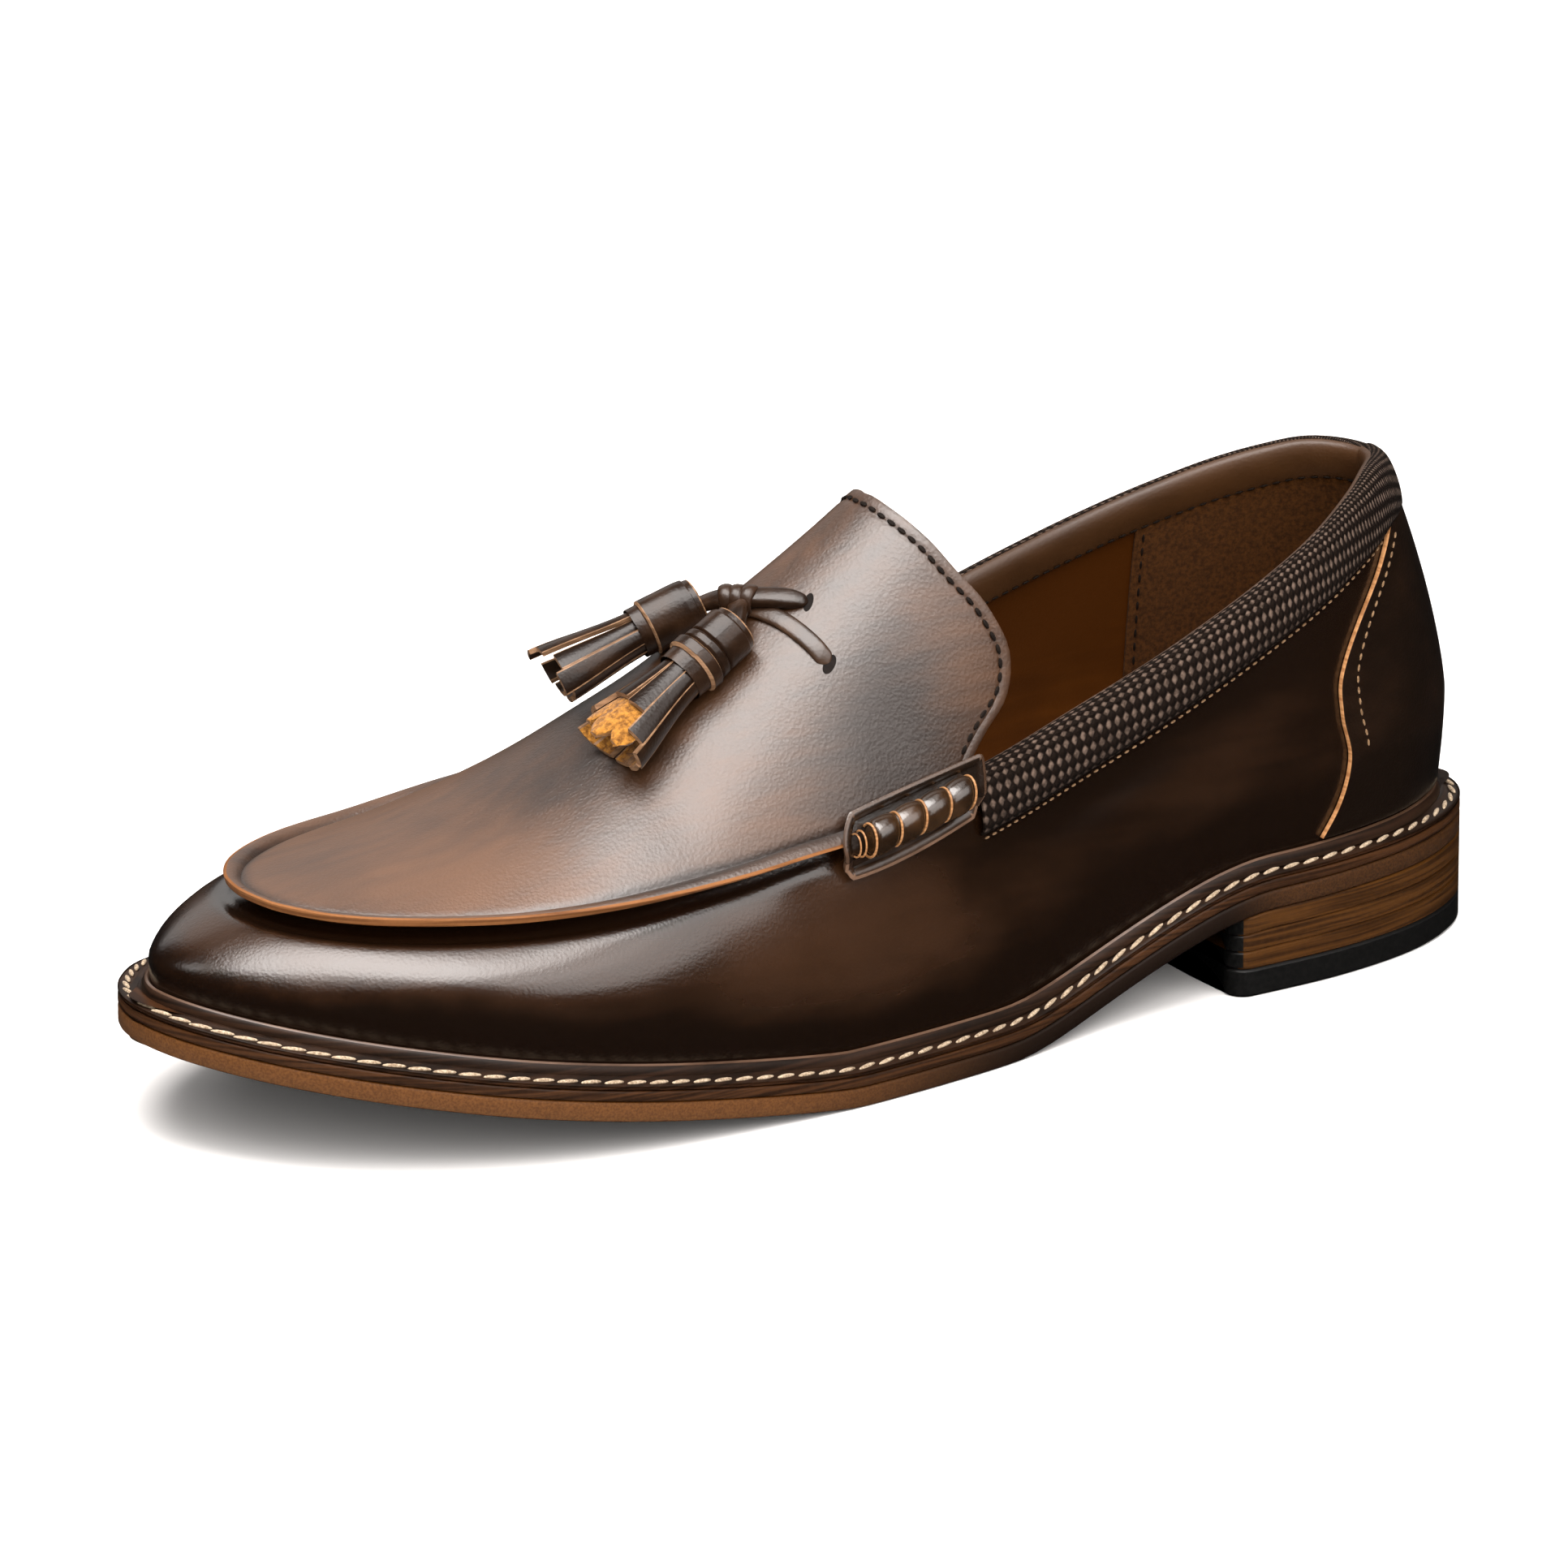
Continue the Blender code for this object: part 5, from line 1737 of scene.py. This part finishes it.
def make_welt():
    """Welt strip with a groove for its stitches, and the rib against the upper; the welt's top and the rib's
    sides take painted shade, the rib's top a painted highlight.
    """
    strip = list(edge_rows(MIDSOLE_TOP + 0.1, WELT_TOP, 0.5))
    strip[7:11] = (
        Edge(0.0, WELT_TOP - 1.3, 0.0),
        Edge(-0.3, WELT_TOP - 0.95, 0.0),
        Edge(-1.0, WELT_TOP - 0.75, 0.0),
        Edge(-2.6, WELT_TOP - 0.75, 0.0),
        Edge(-3.4, WELT_TOP, 0.0),
        Edge(-4.2, WELT_TOP, 0.0),
    )
    welt = make_layer("welt_strip", sole_plan, strip, "welt_leather", ["welt"], WELT_LEATHER)
    # The welt's top, under the upper, takes painted shade.
    second_finish(welt, WELT_SHADOW, lambda face: face.normal.z > 0.6)
    clear = 0.2
    rib = (
        Edge(clear, WELT_TOP - 0.3, 0.0),
        Edge(clear + RIB_WIDTH + 0.4, WELT_TOP - 0.3, 0.0),
        Edge(clear + RIB_WIDTH + 0.3, WELT_TOP + 0.6, 0.0),
        Edge(clear + RIB_WIDTH, WELT_TOP + 1.3, 0.0),
        Edge(clear + RIB_WIDTH * 0.75, WELT_TOP + 1.9, 0.0),
        Edge(clear + RIB_WIDTH * 0.4, WELT_TOP + RIB_HEIGHT, 0.0),
        Edge(clear + 0.1, WELT_TOP + RIB_HEIGHT * 0.85, 0.0),
        Edge(clear, WELT_TOP + RIB_HEIGHT * 0.5, 0.0),
        Edge(clear, WELT_TOP - 0.3, 0.0),
    )
    ridge = make_layer("welt_rib", foot_plan, rib, "welt_leather", [], RIB_HIGHLIGHT)
    # The rib's sides take painted shade, its top keeps the painted highlight.
    second_finish(ridge, WELT_SHADOW, lambda face: face.normal.z < 0.7)


def make_sock():
    """Insole with its leather sock, drawn in to the inside of the wall."""
    sock = edge_rows(WELT_TOP - 1.8, WELT_TOP + 1.8, 0.6)
    sock = tuple(Edge(row.out - WALL - 0.8 * (row.inward == 0), row.height, row.inward) for row in sock)
    make_layer("insole_sock", foot_plan, sock, "lining_leather", ["insole"], SOCK)


def make_welt_row():
    """Cream stitches round the welt, in its groove."""
    upright = np.array([0.0, 0.0, 1.0])
    path = []
    for t in np.linspace(0.0, 2.0, 400):
        plan = sole_plan(t) - plan_out(sole_plan, t) * 1.7
        height = float(sole_bottom(plan[0])) + WELT_TOP - 0.7
        path.append((np.array([*plan, height]), upright))
    row = sew("welt_stitch", path, 4.9, stitch_shape(5.0, 1.0, 0.95, 10), lift=0.05, slant=0.24)
    dress(row, "welt_leather", [], CREAM_THREAD)


def heel_outline(count):
    """Plan of the heel: round the back between the two rounded corners of its hollow breast."""
    last = HEEL_LENGTH - HEEL_CORNER
    angle = np.linspace(0.0, math.acos(1 - 2 * last / SOLE_LENGTH), count)
    x = SOLE_LENGTH * (1 - np.cos(angle)) / 2
    outer = np.column_stack([x, sole_edge(x, 1)])
    inner = np.column_stack([x, sole_edge(x, -1)])
    bend = np.linspace(0.0, math.pi / 2, 7)[1:]
    ahead, inward = last + HEEL_CORNER * np.sin(bend), HEEL_CORNER * (1 - np.cos(bend))
    outer = np.vstack([outer, np.column_stack([ahead, outer[-1, 1] - inward])])
    inner = np.vstack([inner, np.column_stack([ahead, inner[-1, 1] + inward])])
    share = np.linspace(0, 1, 16)[1:-1, None]
    breast = inner[-1] + (outer[-1] - inner[-1]) * share
    breast[:, 0] -= BREAST_HOLLOW * 4 * (share * (1 - share))[:, 0]
    return np.vstack([outer[::-1], inner[1:], breast])


def lay_lift(low, high, soft):
    """One lift of the heel between two heights: its columns, rows and the lay of its points."""
    plan = heel_outline(40)
    count = len(plan)
    middle = plan.mean(axis=0)
    under = (Edge(0.0, 0.0, 1.0), Edge(0.0, 0.0, 0.4), Edge(-soft, 0.0, 0.0), Edge(0.0, soft, 0.0))
    over = (Edge(0.0, -soft, 0.0), Edge(-soft, 0.0, 0.0), Edge(0.0, 0.0, 0.4), Edge(0.0, 0.0, 1.0))
    rows = under + over

    def lay(u, v):
        k = round(u * count) % count
        level = round(v * (len(rows) - 1))
        row = rows[level]
        ahead = plan[(k + 1) % count] - plan[k - 1]
        outward = np.array([ahead[1], -ahead[0]])
        outward /= np.linalg.norm(outward)
        if outward @ (plan[k] - middle) < 0:
            outward = -outward
        x, y = plan[k] + outward * row.out
        base = low if level < len(under) else high
        return np.array([x, y - y * row.inward, base(x) + row.height]), 0.0, 0.0

    return count, len(rows) - 1, lay


def stack_level(part):
    """Height in the stack, from the top-lift (0) to the outsole (1)."""
    return lambda x: TOP_LIFT + (float(sole_bottom(x)) - TOP_LIFT) * part


def make_heel():
    """Stacked lifts with a dark breast, on a rubber top-lift."""
    lift = closed_sheet("top_lift", *lay_lift(lambda x: 0.0, lambda x: TOP_LIFT, 0.6))
    dress(lift, "heel_rubber", ["heel_top_lift"], RUBBER)
    for k in range(LIFT_COUNT):
        low, high = stack_level(k / LIFT_COUNT), stack_level((k + 1) / LIFT_COUNT)
        lift = closed_sheet(f"stack_lift_{k + 1}", *lay_lift(low, high, 0.35))
        dress(lift, "heel_stack", [f"heel_lift_{k + 1}"], STACK_LEATHER)
        # The breast faces take the black finish of the top-lift, so the breast shows dark.
        second_finish(lift, RUBBER, lambda face: face.normal.x > 0.45)


make_plates()
make_welt()
make_sock()
make_welt_row()
make_heel()


# Studio

CAMERA_AZIMUTH = math.radians(149.87)
CAMERA_ELEVATION = math.radians(18.44)
CAMERA_DISTANCE = 2.613
CAMERA_AIM = Vector((0.00321, -0.00614, 0.04836))
CAMERA_LENS = 302.4
LAMP_COLOUR = (1.0, 0.955, 0.925)


def set_camera():
    """Long lens at the outer side, a little ahead of and above the shoe."""
    back = Vector((
        math.sin(CAMERA_AZIMUTH) * math.cos(CAMERA_ELEVATION),
        -math.cos(CAMERA_AZIMUTH) * math.cos(CAMERA_ELEVATION),
        math.sin(CAMERA_ELEVATION),
    ))
    bpy.ops.object.camera_add(location=CAMERA_AIM + back * CAMERA_DISTANCE)
    camera = bpy.context.object
    camera.rotation_euler = (-back).to_track_quat("-Z", "Y").to_euler()
    camera.data.lens = CAMERA_LENS
    camera.data.sensor_width = 36.0
    bpy.context.scene.camera = camera


def softbox(name, place, size, power, swing=None, mirrored=True):
    """A soft light turned to the shoe, or hung level and swung round; one that is not mirrored
    leaves no gleam on the leather."""
    bpy.ops.object.light_add(type="AREA", location=place)
    light = bpy.context.object
    light.name = name
    light.data.shape = "RECTANGLE"
    light.data.size, light.data.size_y = size
    light.data.energy = power
    light.data.color = LAMP_COLOUR
    light.visible_glossy = mirrored
    toward = Vector((0.0, 0.0, 0.04)) - Vector(place)
    light.rotation_euler = toward.to_track_quat("-Z", "Y").to_euler() if swing is None else (0.0, 0.0, swing)


def set_studio():
    """Pale floor, soft lights and a dim room."""
    bpy.ops.object.select_all(action="DESELECT")
    bpy.ops.mesh.primitive_plane_add(size=8.0)
    floor = bpy.context.object
    floor.name = "floor"
    paint = bpy.data.materials.new("pale floor")
    paint.use_nodes = True
    shader = paint.node_tree.nodes["Principled BSDF"]
    shader.inputs["Base Color"].default_value = (0.88, 0.88, 0.88, 1.0)
    shader.inputs["Roughness"].default_value = 0.9
    shader.inputs["Specular IOR Level"].default_value = 0.1
    floor.data.materials.append(paint)
    floor.visible_glossy = False
    softbox("overhead", (0.25, 0.13, 1.0), (0.60, 1.05), 17.5, swing=math.radians(30))
    softbox("canopy", (0.25, 0.45, 1.2), (1.5, 1.5), 11.0, swing=0.0)
    softbox("side", (-0.5, 1.05, 0.92), (1.1, 0.9), 8.5)
    softbox("back wall", (-0.6, -1.4, 0.8), (1.8, 1.0), 4.0)
    softbox("toe", (0.9, -0.52, 0.95), (0.3, 0.3), 0.75)
    softbox("fill", (0.9, 1.6, 1.2), (2.4, 2.4), 70.0, mirrored=False)
    softbox("floor", (-0.6, -1.1, 1.8), (2.0, 2.0), 26.0, swing=0.0, mirrored=False)
    world = bpy.data.worlds.new("room")
    world.use_nodes = True
    world.node_tree.nodes["Background"].inputs["Color"].default_value = (1.0, 1.0, 1.0, 1.0)
    world.node_tree.nodes["Background"].inputs["Strength"].default_value = 0.012
    bpy.context.scene.world = world
    bpy.context.scene.view_settings.view_transform = "Standard"


set_camera()
set_studio()
